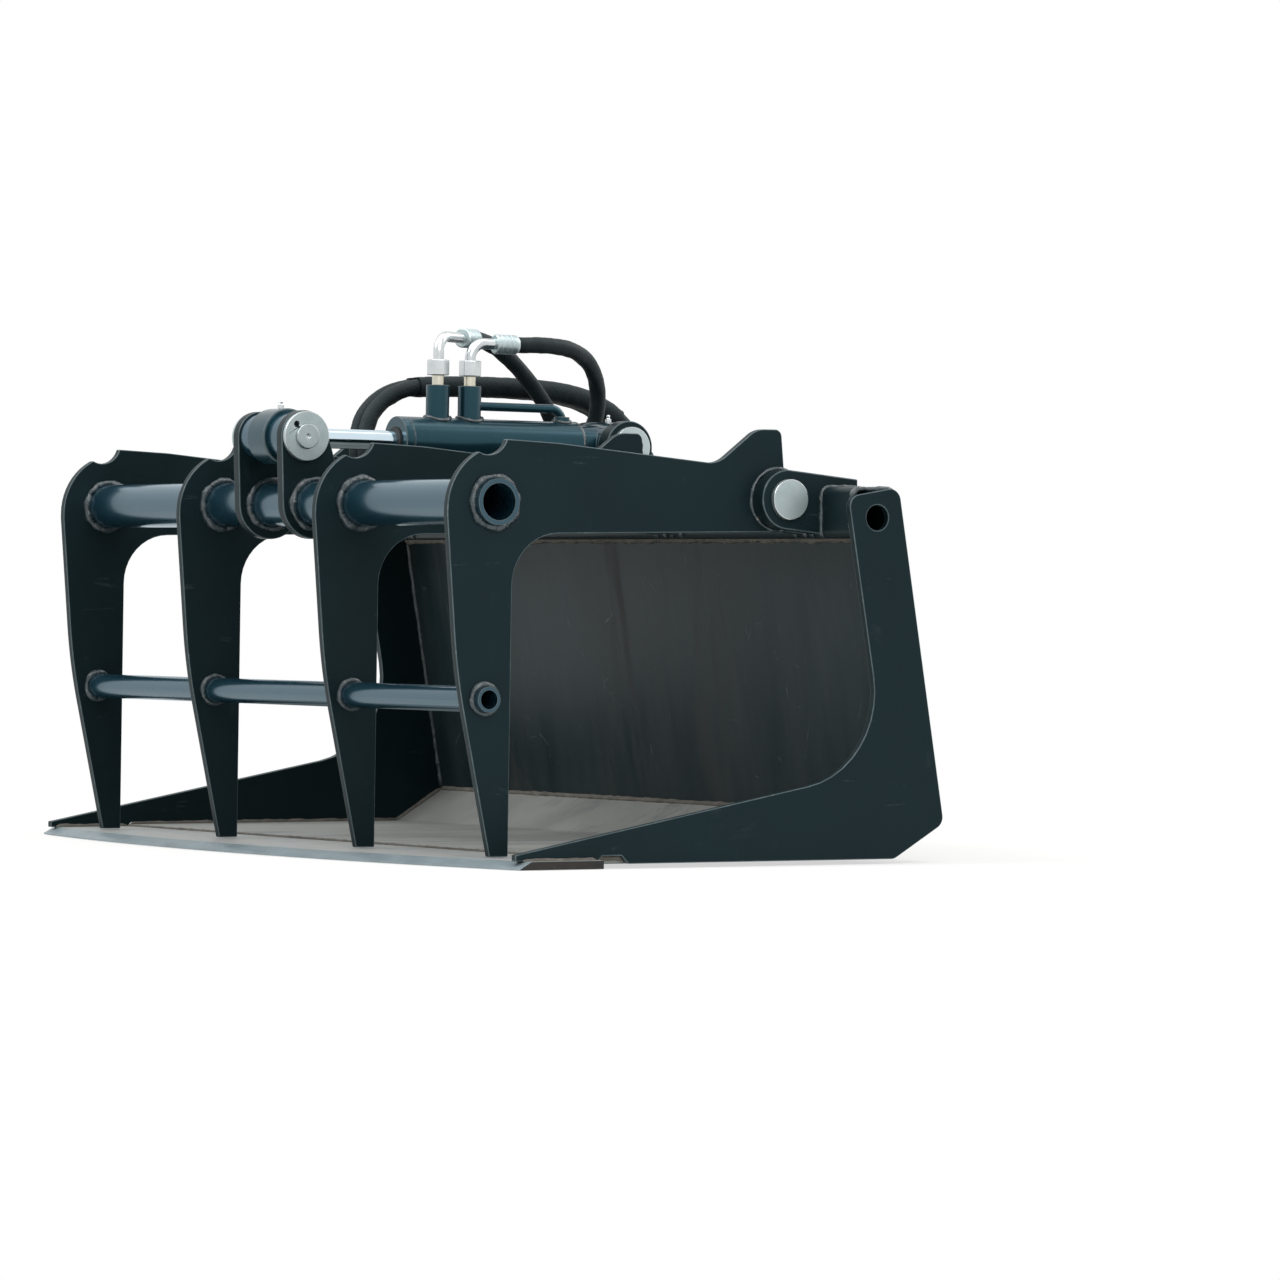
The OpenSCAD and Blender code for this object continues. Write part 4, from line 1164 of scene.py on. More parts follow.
@dataclass
class Tube:
    """A tube drawn round a path, with its own frames and a map of metres round and along it."""

    path: np.ndarray
    sides: int = 24

    # A path that starts this close to upright takes its first side from X
    UPRIGHT: ClassVar[float] = 0.1

    def __post_init__(self) -> None:
        """Works out the distances along the path and a frame at each point."""
        ahead = np.gradient(self.path, axis=0)
        self.ahead = ahead / np.linalg.norm(ahead, axis=1)[:, None]
        self.reach = reach_along(self.path)
        side = np.cross(self.ahead[0], (0.0, 0.0, 1.0))
        if np.linalg.norm(side) < self.UPRIGHT:
            side = np.cross(self.ahead[0], (1.0, 0.0, 0.0))
        sides = []
        for t in self.ahead:
            side = side - t * float(side @ t)
            side = side / np.linalg.norm(side)
            sides.append(side)
        self.side = np.array(sides)
        self.over = np.cross(self.ahead, self.side)
        self.bend = np.gradient(self.ahead, axis=0) / np.gradient(self.reach)[:, None]

    def skin(self, name: str, radii: np.ndarray) -> bpy.types.Object:
        """Builds the tube, closed at both ends, from a radius in metres at each path point and side."""
        rings = self.path[:, None, :] + self.rays() * radii[:, :, None]
        return tube_mesh(name, rings, self.reach, closed_ends=True)

    def rays(self) -> np.ndarray:
        """Directions from the path to the skin, for each path point and side."""
        angle = np.arange(self.sides) / self.sides * math.tau
        sideways = self.side[:, None, :] * np.cos(angle)[None, :, None]
        return sideways + self.over[:, None, :] * np.sin(angle)[None, :, None]


def tube_mesh(name: str, rings: np.ndarray, reach: np.ndarray, closed_ends: bool) -> bpy.types.Object:
    """Joins rings of points into a tube with a map of metres round and along it.

    Args:
        name: Name of the piece.
        rings: Points in metres, by ring and by place in the ring.
        reach: Distance of each ring along the piece.
        closed_ends: True to close both ends.

    Returns:
        The tube with its UV map "along".
    """
    count, sides, _ = rings.shape
    faces = []
    for i in range(count - 1):
        for j in range(sides):
            k = (j + 1) % sides
            faces.append((i * sides + j, i * sides + k, (i + 1) * sides + k, (i + 1) * sides + j))
    if closed_ends:
        faces.append(tuple(range(sides - 1, -1, -1)))
        faces.append(tuple(range((count - 1) * sides, count * sides)))
    mesh = bpy.data.meshes.new(name)
    mesh.from_pydata(rings.reshape(-1, 3).tolist(), [], faces)
    around = np.linalg.norm(np.roll(rings, -1, axis=1) - rings, axis=2).mean(axis=0)
    around = np.concatenate([[0.0], np.cumsum(around)])
    layer = mesh.uv_layers.new(name="along")
    uv = np.zeros((len(mesh.loops), 2))
    cursor = 0
    for i in range(count - 1):
        for j in range(sides):
            uv[cursor : cursor + 4] = (
                (around[j], reach[i]),
                (around[j + 1], reach[i]),
                (around[j + 1], reach[i + 1]),
                (around[j], reach[i + 1]),
            )
            cursor += 4
    layer.data.foreach_set("uv", uv.ravel())
    mesh.update()
    obj = bpy.data.objects.new(name, mesh)
    bpy.context.collection.objects.link(obj)
    only(obj)
    bpy.ops.object.mode_set(mode="EDIT")
    bpy.ops.mesh.select_all(action="SELECT")
    bpy.ops.mesh.normals_make_consistent(inside=False)
    bpy.ops.object.mode_set(mode="OBJECT")
    return obj


def blended(a: np.ndarray, b: np.ndarray, low: float, high: float, t: float) -> np.ndarray:
    """Point on the line through two points.

    Args:
        a: Point at low.
        b: Point at high.
        low: Knot of the first point.
        high: Knot of the second point.
        t: Knot that is asked for.

    Returns:
        The point at t.
    """
    return (high - t) / (high - low) * a + (t - low) / (high - low) * b


# Steps of a curve between two route points, rounds of spacing them evenly, and passes of easing in each
CURVE_STEPS = 24
SPACING_ROUNDS = 2
EASING_PASSES = 10


def smooth_path(points: Sequence[Vector], spacing: float) -> np.ndarray:
    """Runs one smooth curve through route points, without kinks where they lie unevenly.

    Args:
        points: Route points in metres.
        spacing: Distance between the points of the result, in metres.

    Returns:
        Evenly spaced points.
    """
    p = np.array([list(v) for v in points])
    p = np.vstack([2 * p[0] - p[1], p, 2 * p[-1] - p[-2]])
    fine = []
    for a, b, c, d in zip(p, p[1:], p[2:], p[3:]):
        gaps = [max(SAME_SPOT, np.linalg.norm(n - m)) ** 0.5 for m, n in ((a, b), (b, c), (c, d))]
        k0, k1, k2, k3 = np.cumsum([0.0] + gaps)
        for t in np.linspace(k1, k2, CURVE_STEPS, endpoint=False):
            ab = blended(a, b, k0, k1, t)
            bc = blended(b, c, k1, k2, t)
            cd = blended(c, d, k2, k3, t)
            abc = blended(ab, bc, k0, k2, t)
            bcd = blended(bc, cd, k1, k3, t)
            fine.append(blended(abc, bcd, k1, k2, t))
    fine = np.array(fine + [p[-2]])
    reach = reach_along(fine)
    for _ in range(SPACING_ROUNDS):
        places = np.linspace(0, reach[-1], int(round(reach[-1] / spacing)) + 1)
        fine = np.stack([np.interp(places, reach, fine[:, i]) for i in range(3)], axis=1)
        for _ in range(EASING_PASSES):
            fine[2:-2] = 0.25 * fine[1:-3] + 0.5 * fine[2:-2] + 0.25 * fine[3:-1]
        reach = reach_along(fine)
    return fine


# Way that the hoses share, as (Y, Z): back over the bucket inside the wrap and over the carrier hook
LOOP = (
    (227, 472), (262, 473), (297, 473.5), (332, 473), (367, 471.5), (402, 468), (436, 459.5),
    (467, 442.5), (492, 417), (511, 386), (524, 352.5), (532, 317.5),
)
# Last stretch down to the couplers, as (X away from the middle of the hoses, Y, Z)
DROP = ((11.5, 536, 284), (15, 537, 258), (16, 537, 238), (16, 537, 223))


@dataclass
class HoseRun:
    """One sleeved hydraulic hose from its ferrule on the cylinder to its quick coupler."""

    name: str
    start: tuple[Point, ...]
    # Distance to the left of the middle between the hoses
    lane: float
    # X between which the hose runs over from the barrel to the bucket
    blend_from: float
    blend_to: float
    middle: float = -116.0
    diameter: float = 17.0
    spacing: float = 2.0
    crease: float = 0.85

    # Radius of the sleeve at mid height of its creases and at its ends, as shares of the hose's
    SLEEVE_SHARE: ClassVar[float] = 0.975
    END_SHARE: ClassVar[float] = 0.96
    # Metres over which the ends widen, and the radius of bend that has the deepest creases
    END_REACH: ClassVar[float] = 0.006
    TIGHT_BEND: ClassVar[float] = 0.045
    # Depth of the creases on straight hose, and what a tight bend adds to it
    STRAIGHT_DEPTH: ClassVar[float] = 0.45
    BENT_DEPTH: ClassVar[float] = 1.1
    # Folds and fine wrinkles: how many fit in a metre, and how fast they change round the hose
    FOLDS: ClassVar[Span] = (85.0, 0.8)
    WRINKLES: ClassVar[Span] = (300.0, 1.6)
    WRINKLE_SHARE: ClassVar[float] = 0.25
    # Shift that keeps the wrinkles apart from the folds
    WRINKLE_SHIFT: ClassVar[float] = 5.0
    # Y and Z of a line across the hose's run from the barrel to the bucket
    BLEND_LINE: ClassVar[Span] = (300.0, 420.0)
    DECLARED: ClassVar[int] = 6

    def points(self) -> list[Vector]:
        """Route points from the ferrule to the coupler."""
        side = 1 if self.lane > 0 else -1
        loop = [(self.middle + self.lane, y, z) for y, z in LOOP]
        drop = [(self.middle + side * x, y, z) for x, y, z in DROP]
        return [place(*p) for p in (*self.start, *loop, *drop)]

    def build(self, finish: bpy.types.Material, carried: Sequence[bpy.types.Object]) -> bpy.types.Object:
        """Args:
            finish: Material of the sleeve.
            carried: Pieces that hang on the hose; not used.

        Returns:
            The hose.
        """
        path = smooth_path(self.points(), self.spacing * MM)
        tube = Tube(path)
        hose = tube.skin(self.name + "_sleeved", self._creased(tube))
        settle(hose, None, (finish,), (self.name,), angle=TEXTILE_ANGLE)
        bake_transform(hose)
        LOG.info("%s is %.0f mm long", self.name, tube.reach[-1] / MM)
        return hose

    def _creased(self, tube: Tube) -> np.ndarray:
        """Radii of the textile sleeve: creases across the hose, deeper inside its bends.

        Args:
            tube: The tube that gets the radii.

        Returns:
            Radius at each path point and side, in metres.
        """
        rays = tube.rays()
        base = self.diameter / 2 * MM
        radii = np.full(rays.shape[:2], base * self.SLEEVE_SHARE)
        inside = np.einsum("ijk,ik->ij", rays, tube.bend) * self.TIGHT_BEND
        folds, fold_round = self.FOLDS
        wrinkles, wrinkle_round = self.WRINKLES
        for i, s in enumerate(tube.reach):
            for j in range(tube.sides):
                x, y, z = rays[i, j]
                fold = noise.noise(Vector((s * folds, x * fold_round, y * fold_round + z * fold_round)))
                shifted = x * wrinkle_round + self.WRINKLE_SHIFT
                fine = noise.noise(Vector((s * wrinkles, shifted, z * wrinkle_round)))
                deep = self.STRAIGHT_DEPTH + self.BENT_DEPTH * max(0.0, min(1.0, inside[i, j]))
                radii[i, j] += (fold * deep + self.WRINKLE_SHARE * fine) * self.crease * MM
        taper = np.clip(tube.reach / self.END_REACH, 0, 1)
        least = base * self.END_SHARE
        return least + (radii - least) * taper[:, None]


@dataclass
class HoseWrap:
    """The loose textile wrap that holds both hoses together over the top of their run."""

    # The points of LOOP between which it runs
    first: int = 0
    last: int = 7
    middle: float = -116.0
    lane: float = 9.4
    spacing: float = 2.5
    # Radii round each hose, outside and inside, and how far the ends are tucked in
    outer: float = 10.6
    hollow: float = 9.35
    tuck: float = 7.0
    # Thickness at the ends, and the length over which the wrap widens from them
    lip: float = 0.3
    lip_l: float = 14.0

    # Degrees between points round a hose, and steps across the flat between the hoses
    ROUND_STEP: ClassVar[int] = 10
    FLAT_STEPS: ClassVar[int] = 6
    # Metres by which the weave on the tucked part is shifted
    TUCK_SHIFT: ClassVar[float] = 0.5
    # Height of the folds in millimetres, how many fit in a metre, and their change across and round
    FOLD: ClassVar[float] = 0.55
    FOLDS: ClassVar[Point] = (95.0, 0.03, 0.10)
    # The same for the fine wrinkles
    WRINKLE: ClassVar[float] = 0.22
    WRINKLES: ClassVar[Point] = (330.0, 0.25, 0.2)
    # Sag between the hoses: depth and half width in millimetres, where on the oval it starts,
    # the share of it that is always there, and how often it changes in a metre
    SAG: ClassVar[float] = 0.8
    SAG_WIDTH: ClassVar[float] = 4.5
    SAG_FROM: ClassVar[float] = 0.6
    SAG_SHARES: ClassVar[Span] = (0.6, 0.4)
    SAGS: ClassVar[float] = 60.0
    # The most that the textile stands out, in millimetres
    PROUD: ClassVar[float] = 0.18

    def build(self, finish: bpy.types.Material) -> bpy.types.Object:
        """Builds the wrap.

        Args:
            finish: Material of the textile.

        Returns:
            The wrap.
        """
        route = [place(self.middle, y, z) for y, z in LOOP[self.first : self.last + 1]]
        path = smooth_path(route, self.spacing * MM)
        tube = Tube(path)
        tube.side = np.tile([-1.0, 0.0, 0.0], (len(path), 1))
        tube.over = np.cross(tube.ahead, tube.side)
        rings, reach = [], []
        inner = int(self.tuck / self.spacing)
        last = len(path) - 1
        order = [*range(inner, 0, -1), *range(last + 1), *range(last - 1, last - inner - 1, -1)]
        for number, i in enumerate(order):
            before, after = number < inner, number > inner + last
            within = before or after
            rings.append(self._oval(tube, i, self.hollow if within else self._outer(tube, i), within))
            reach.append(tube.reach[i] + self.TUCK_SHIFT * (after - before))
        wrap = tube_mesh("hose_wrap", np.array(rings), np.array(reach), closed_ends=False)
        return settle(wrap, Body.BUCKET, (finish,), ("hose_sleeve",), angle=TEXTILE_ANGLE)

    def _outer(self, tube: Tube, i: int) -> float:
        """Outside radius at one path point: the wrap is drawn in close round the hoses at its ends.

        Args:
            tube: Path of the wrap.
            i: Number of the path point.

        Returns:
            Radius round each hose in millimetres.
        """
        to_end = min(tube.reach[i], tube.reach[-1] - tube.reach[i]) / MM
        share = min(1.0, to_end / self.lip_l)
        slack = self.outer - self.hollow - self.lip
        return self.hollow + self.lip + slack * share * share * (3 - 2 * share)

    def _crease(self, s: float, u: float, v: float) -> float:
        """How far the textile stands out from the smooth oval.

        Args:
            s: Distance along the wrap in metres.
            u: Place across the wrap in millimetres.
            v: Height over its middle in millimetres.

        Returns:
            Distance in millimetres, below 0 where the textile sinks in.
        """
        folds, fold_drift, fold_round = self.FOLDS
        wrinkles, wrinkle_across, wrinkle_up = self.WRINKLES
        drifted = s * folds + u * fold_drift
        grow = self.FOLD * noise.noise(Vector((drifted, u * fold_round, v * fold_round)))
        grow += self.WRINKLE * noise.noise(Vector((s * wrinkles, u * wrinkle_across, v * wrinkle_up)))
        if abs(v) > self.hollow * self.SAG_FROM:
            always, at_times = self.SAG_SHARES
            sag = self.SAG * math.exp(-((u / self.SAG_WIDTH) ** 2))
            grow -= sag * (always + at_times * noise.noise(Vector((s * self.SAGS, 3.0, v))))
        return min(grow, self.PROUD)

    def _oval(self, tube: Tube, i: int, radius: float, within: bool) -> np.ndarray:
        """One ring of the wrap, creased where it shows.

        Args:
            tube: Path of the wrap.
            i: Number of the path point.
            radius: Radius round each hose in millimetres.
            within: True for the part that is tucked in.

        Returns:
            Points of the ring.
        """
        points = []
        for half, start in ((-1, 90), (1, 270)):
            for turn in range(0, 181, self.ROUND_STEP):
                a = math.radians(start + turn)
                points.append((half * self.lane + radius * math.cos(a), radius * math.sin(a)))
            for step in range(1, self.FLAT_STEPS):
                points.append((half * self.lane * (1 - 2 * step / self.FLAT_STEPS), -half * radius))
        ring = []
        for u, v in points:
            grow = 0.0 if within else self._crease(tube.reach[i], u, v)
            beyond = max(0.0, abs(u) - self.lane)
            away = math.hypot(beyond, v) or 1.0
            across = u + grow * (math.copysign(beyond, u) / away)
            up = v + grow * (v / away)
            ring.append(tube.path[i] + (tube.side[i] * -across + tube.over[i] * up) * MM)
        return np.array(ring)


@dataclass
class HoseEnds:
    """Crimped ferrules, quick couplers and dust caps at the far ends of the hoses."""

    middle: float = -116.0
    apart: float = 16.0
    y: float = 537.0
    top: float = 223.0
    ferrule_l: float = 34.0
    ferrule_r: float = 10.0
    coupler_l: float = 52.0
    coupler_r: float = 13.0
    neck_l: float = 12.0
    neck_r: float = 9.0
    cap_l: float = 26.0
    cap_r: float = 14.5

    # Crimp rings of a ferrule: where they start, their pitch and depth, and the plain length after them
    CRIMP_START: ClassVar[float] = 4.0
    CRIMP_PITCH: ClassVar[float] = 5.6
    CRIMP_DEPTH: ClassVar[float] = 0.4
    CRIMP_END: ClassVar[float] = 9.0
    # Grooves of a coupler's grip: where they start, and their depth
    GROOVES: ClassVar[Point] = (13.0, 16.6, 20.2)
    GROOVE_DEPTH: ClassVar[float] = 0.5

    def crimped(self, name: str, length: float, radius: float) -> bpy.types.Object:
        """Turns one ferrule with its crimp rings.

        Args:
            name: Name of the piece.
            length: Length in millimetres.
            radius: Outside radius in millimetres.

        Returns:
            The ferrule, standing on its fitting end.
        """
        at, low = self.CRIMP_START, radius - self.CRIMP_DEPTH
        section = [(0.0, 0.0), (radius - 1.2, 0.0), (radius, 1.2), (radius, at)]
        while at < length - self.CRIMP_END:
            section += [(low, at + 0.5), (low, at + 1.5), (radius, at + 2.0)]
            at += self.CRIMP_PITCH
            section.append((radius, at))
        section += [(radius, length - 2.5), (radius - 1.0, length - 0.6), (radius - 1.3, length)]
        return turned(name, section + [(0.0, length)], steps=40)

    def build(self, shop: Finishes) -> list[list[bpy.types.Object]]:
        """Builds the far ends.

        Args:
            shop: Finishes.

        Returns:
            The pieces that each hose carries.
        """
        ferrule = self.crimped("far_ferrule_1", self.ferrule_l, self.ferrule_r)
        coupler = turned("quick_coupler_1", self._coupler())
        cap = turned("dust_cap_1", self._cap())
        groups = []
        for number, side in enumerate((-1, 1), start=1):
            x = self.middle + side * self.apart
            base = self.top - self.ferrule_l
            pieces = []
            for stock, height, finish, node, slot in (
                (ferrule, base, shop.zinc, "coupler_ferrules", "zinc"),
                (coupler, base - self.coupler_l, shop.zinc, "couplers", "zinc"),
                (cap, base - self.coupler_l - self.cap_l, shop.cap, "coupler_caps", "cap_plastic"),
            ):
                piece = stock if number == 1 else copied(stock, stock.name[:-1] + "2")
                pieces.append((piece, height, finish, node, slot))
            groups.append((x, pieces))
        result = []
        for x, pieces in groups:
            done = []
            for piece, height, finish, node, slot in pieces:
                piece.data.transform(Matrix.Translation(place(x, self.y, height)))
                done.append(settle(piece, Body.BUCKET, (finish,), (node,)))
            result.append(done)
        return result

    def _coupler(self) -> list[tuple[float, float]]:
        """Section of a quick coupler, its socket end at the bottom."""
        length, r, neck = self.coupler_l, self.coupler_r, self.neck_r
        shoulder = length - self.neck_l
        low = r - self.GROOVE_DEPTH
        grip = []
        for at in self.GROOVES:
            grip += [(r, at), (low, at + 0.5), (low, at + 1.3), (r, at + 1.8)]
        return [
            (0.0, 0.0), (r - 1.4, 0.0), (r - 0.4, 1.0), (r - 0.4, 6.0), (r - 1.3, 6.8), (r - 1.3, 8.6),
            (r - 0.2, 9.4), (r, 10.4), *grip, (r, 27.0), (r - 1.2, 28.0), (r - 1.2, 30.0),
            (r - 0.3, 31.0), (r - 0.3, shoulder - 1.4), (r - 1.6, shoulder), (neck + 0.2, shoulder),
            (neck, shoulder + 0.6), (neck, length - 1.0), (neck - 0.8, length), (0.0, length),
        ]

    def _cap(self) -> list[tuple[float, float]]:
        """Section of a dust cap, its closed end at the bottom."""
        r, length = self.cap_r, self.cap_l
        return [
            (0.0, 1.2), (r - 6.0, 1.2), (r - 5.0, 0.0), (r - 2.2, 0.0), (r - 0.6, 0.9), (r - 0.2, 2.4),
            (r - 0.2, 8.0), (r - 0.9, 8.8), (r - 0.9, 10.4), (r - 0.2, 11.2), (r - 0.2, length - 5.0),
            (r, length - 4.2), (r, length - 1.0), (r - 0.8, length), (0.0, length),
        ]


@dataclass
class Hoses:
    """Both hoses, their wrap and their far ends."""

    # Route points from each ferrule down beside the barrel, forward under it and up to LOOP
    start_a: tuple[Point, ...] = (
        (-36, 255.66, 520.174), (-38.125, 259.34, 520.116), (-51, 288.5, 512.5), (-60.5, 316, 496),
        (-67.5, 340.5, 475), (-75, 363, 451.5), (-84, 378.5, 424), (-90.5, 380.5, 391.5),
        (-93.5, 367, 362), (-95, 341, 342), (-95, 308.5, 334.5), (-94.5, 275.5, 333.5),
        (-94.5, 242, 333.5), (-95, 209, 337.5), (-98.5, 180.5, 353), (-104.5, 162.5, 380),
        (-112, 159, 411.5), (-119, 170.5, 441.5), (-123.5, 195.5, 462.5),
    )
    start_b: tuple[Point, ...] = (
        (0, 284.208, 513.723), (0, 288.457, 513.656), (-3, 323, 514), (-11.5, 356.5, 510),
        (-26.5, 385, 497.5), (-43.5, 405, 474.5), (-58.5, 413, 444.5), (-69.5, 405.5, 413),
        (-73.5, 382.5, 387.5), (-74, 350, 376), (-75, 316, 368), (-75.5, 284.5, 353.5),
        (-76, 253, 338.5), (-77, 218.5, 335), (-79.5, 186.5, 347.5), (-84.5, 165, 374),
        (-92.5, 158.5, 407), (-100, 168.5, 439), (-104.5, 194, 462),
    )
    ends: HoseEnds = field(default_factory=HoseEnds)
    wrap: HoseWrap = field(default_factory=HoseWrap)

    def build(self, shop: Finishes) -> None:
        """Builds everything that is soft, and what hangs on it.

        Args:
            shop: Finishes.
        """
        far_a, far_b = self.ends.build(shop)
        wrap = self.wrap.build(shop.wrap)
        lane = self.wrap.lane
        run_a = HoseRun("hose_a", self.start_a, lane=-lane, blend_from=-45, blend_to=-117)
        run_b = HoseRun("hose_b", self.start_b, lane=lane, blend_from=-9, blend_to=-98)
        run_a.build(shop.hose, [*far_a, wrap])
        run_b.build(shop.hose, far_b)


@dataclass
class Shell:
    """The bucket itself: floor, back, sides, cutting edge, crossmember, ears, lugs and their welds."""

    inner_w: float = 994.0
    side_t: float = 8.0
    floor_top: float = 10.0
    edge_depth: float = 91.0
    edge_top: float = 8.0
    bend_y: float = 417.92
    heel: tuple[float, float] = (473.92, 44.0)
    back_top: float = 323.9
    back_lean: float = 9.3
    # Crossmember: front, rear, bottom and top, and its corner radius
    box: tuple[float, float, float, float] = (378.0847, 428.0847, 316.0, 366.0)
    box_r: float = 8.0
    # Faces of an ear to both sides of its tine, and of a lug from the middle
    ear_faces: Span = (6.5, 24.5)
    lug_faces: Span = (27.0, 45.0)
    # Widths of the broken edges of side plates, bent sheet, blade, wear strips, box tube, ears and lugs
    plate_edge: float = 0.9
    sheet_edge: float = 0.6
    blade_edge: float = 0.35
    strip_edge: float = 0.8
    box_edge: float = 0.5
    lug_edge: float = 1.2
    # Y between which the beads beside the cutting edge run, and the Y that the floor's beads start at
    inside_bead: Span = (6.0, 90.0)
    outside_bead: Span = (8.0, 88.0)
    floor_bead_from: float = 94.0
    # Radii of the beads: most seams, outside and behind the blade, under the crossmember, ears and lugs
    seam_bead: float = 3.0
    outside_blade_bead: float = 2.6
    behind_blade_bead: float = 1.9
    under_box_bead: float = 4.2
    ear_bead: float = 2.7
    lug_bead: float = 3.2
    # The bead on the crossmember's end: how far before its rear it starts, and how far below its top
    end_bead_from: float = 4.0
    end_bead_drop: float = 2.2
    # How far the bead behind the blade lies above it, and the ones under and behind the crossmember
    # off its lower rear corner, forward and up, and off its rear
    blade_lift: float = 0.2
    under_box: Span = (1.0, 0.5)
    behind_box: float = 2.4
    # How far before the crossmember's rear an ear's bead starts, and how far a lug's bead ends from
    # its front and rear
    ear_bead_from: float = 8.0
    lug_bead_inset: Span = (6.0, 5.0)

    # How many of the last points of the rounded outline an ear's bead leaves out
    EAR_BEAD_STOP: ClassVar[int] = 3
    # A blade face whose normal has more X or Y than this is an end, and one with less Z isn't the top
    END_FACE: ClassVar[float] = 0.5
    TOP_FACE: ClassVar[float] = 0.995
    # Degrees between points on a rounded corner
    CORNER_STEP: ClassVar[int] = 15

    def back_at(self, z: float) -> float:
        """Y of the back plate's inner face at height z."""
        return self.heel[0] - (z - self.heel[1]) * math.tan(math.radians(self.back_lean))

    def build(self, shop: Finishes, link: Linkage) -> None:
        """Dresses the plates and lays the welds.

        Args:
            shop: Finishes.
            link: Shared places.
        """
        # Broken plate edges get paler worn enamel, which also stands for a painted highlight along every
        # edge
        paint, edge_wear_and_highlight = shop.paint, shop.paint_edge
        for node in ("side_plate_left", "side_plate_right"):
            soften(node, Body.BUCKET, paint, edge_wear_and_highlight, self.plate_edge)
        soften("back_plate", Body.BUCKET, shop.scuffed, edge_wear_and_highlight, self.sheet_edge)
        soften("floor_plate", Body.BUCKET, shop.floor, edge_wear_and_highlight, self.sheet_edge)
        self._edge(shop)
        soften("wear_strips", Body.BUCKET, shop.floor, edge_wear_and_highlight, self.strip_edge)
        soften("crossmember", Body.BUCKET, paint, edge_wear_and_highlight, self.box_edge)
        soften("pivot_ears", Body.BUCKET, paint, edge_wear_and_highlight, self.lug_edge)
        soften("cylinder_lugs", Body.BUCKET, paint, edge_wear_and_highlight, self.lug_edge)
        self._seams(shop)
        self._ear_welds(shop, link)

    def _edge(self, shop: Finishes) -> None:
        """Dresses the cutting edge: dusty on top, polished along the bevel and below, rusty at its ends.

        Args:
            shop: Finishes.
        """
        blade = soften(
            "cutting_edge", Body.BUCKET, shop.dusty_edge, shop.edge, self.blade_edge
        )
        blade.data.materials.append(shop.rusty)
        for face in blade.data.polygons:
            x, y, z = face.normal
            if abs(x) > self.END_FACE or y > self.END_FACE:
                face.material_index = 2
            elif z < self.TOP_FACE:
                face.material_index = 1

    def _seams(self, shop: Finishes) -> None:
        """Lays the beads along the seams of the shell.

        Args:
            shop: Finishes.
        """
        half = self.inner_w / 2
        bead = Bead(self.seam_bead)
        end_bead = Bead(self.seam_bead, lump=0.35)
        front, rear, low, high = self.box
        # Round the end of the crossmember, from its top over the front to its bottom
        top = high - self.end_bead_drop
        around = self._rounded([(rear - self.end_bead_from, top), (front, top), (front, low), (rear, low)])
        parts, low_parts = [], []
        for side in (-1, 1):
            x = side * half
            foot = [(self.floor_bead_from, self.floor_top), (self.bend_y, self.floor_top), self.heel]
            low_parts.append(bead.lay("seam", [place(x, *p) for p in foot]))
            parts.append(bead.lay("seam", [place(x, *self.heel), place(x, self.back_at(low), low)]))
            low_parts.append(bead.lay("seam", [place(x, y, self.edge_top) for y in self.inside_bead]))
            outside = side * (half + self.side_t)
            ends = [place(outside, y, self.edge_top) for y in self.outside_bead]
            low_parts.append(Bead(self.outside_blade_bead).lay("seam", ends))
            parts.append(end_bead.lay("seam", [place(x, *p) for p in around]))
        behind_blade = self._across(self.edge_depth, self.edge_top + self.blade_lift)
        low_parts.append(Bead(self.behind_blade_bead).lay("seam", behind_blade))
        low_parts.append(bead.lay("seam", self._across(*self.heel)))
        forward, up = self.under_box
        under_box = self._across(rear - forward, low + up)
        low_parts.append(Bead(self.under_box_bead, lump=0.4).lay("seam", under_box))
        welded("floor_welds", low_parts, Body.BUCKET, shop.earthy_weld)
        parts.append(bead.lay("seam", self._across(rear + self.behind_box, self.back_top)))
        welded("shell_welds", parts, Body.BUCKET, shop.weld)

    def _across(self, y: float, z: float) -> list[Vector]:
        """Ends of a seam that runs between the side plates at Y and Z."""
        return [place(side * self.inner_w / 2, y, z) for side in (-1, 1)]

    def _rounded(self, corners: Sequence[tuple[float, float]]) -> list[tuple[float, float]]:
        """Outline of the crossmember past its two front corners.

        Args:
            corners: Rear top, front top, front bottom and rear bottom corner.

        Returns:
            Outline points (Y, Z) with both front corners rounded.
        """
        points = [corners[0]]
        r = self.box_r
        for (y, z), start in ((corners[1], 90), (corners[2], 180)):
            cy, cz = y + r, z - r if start == 90 else z + r
            for turn in range(0, 91, self.CORNER_STEP):
                a = math.radians(start + turn)
                points.append((cy + r * math.cos(a), cz + r * math.sin(a)))
        points.append(corners[3])
        return points

    def _ear_welds(self, shop: Finishes, link: Linkage) -> None:
        """Lays the beads round the ears and the cylinder's lugs, on the crossmember.

        Args:
            shop: Finishes.
            link: Shared places.
        """
        front, rear, low, high = self.box
        # An ear's bead runs over the top, down the front and round most of the lower corner
        corners = [(rear - self.ear_bead_from, high), (front, high), (front, low), (rear, low)]
        path = self._rounded(corners)[: -self.EAR_BEAD_STOP]
        ear = Bead(self.ear_bead, seed=4.0).lay("bead", [place(0, *p) for p in path])
        shifts = [x + side * face for x in link.tines for side in (-1, 1) for face in self.ear_faces]
        parts = repeated(ear, shifts)
        behind_front, before_rear = self.lug_bead_inset
        ends = [place(0, front + behind_front, high), place(0, rear - before_rear, high)]
        lug = Bead(self.lug_bead, seed=9.0).lay("bead", ends)
        parts += repeated(lug, [side * face for side in (-1, 1) for face in self.lug_faces])
        welded("ear_and_lug_welds", parts, Body.BUCKET, shop.weld)


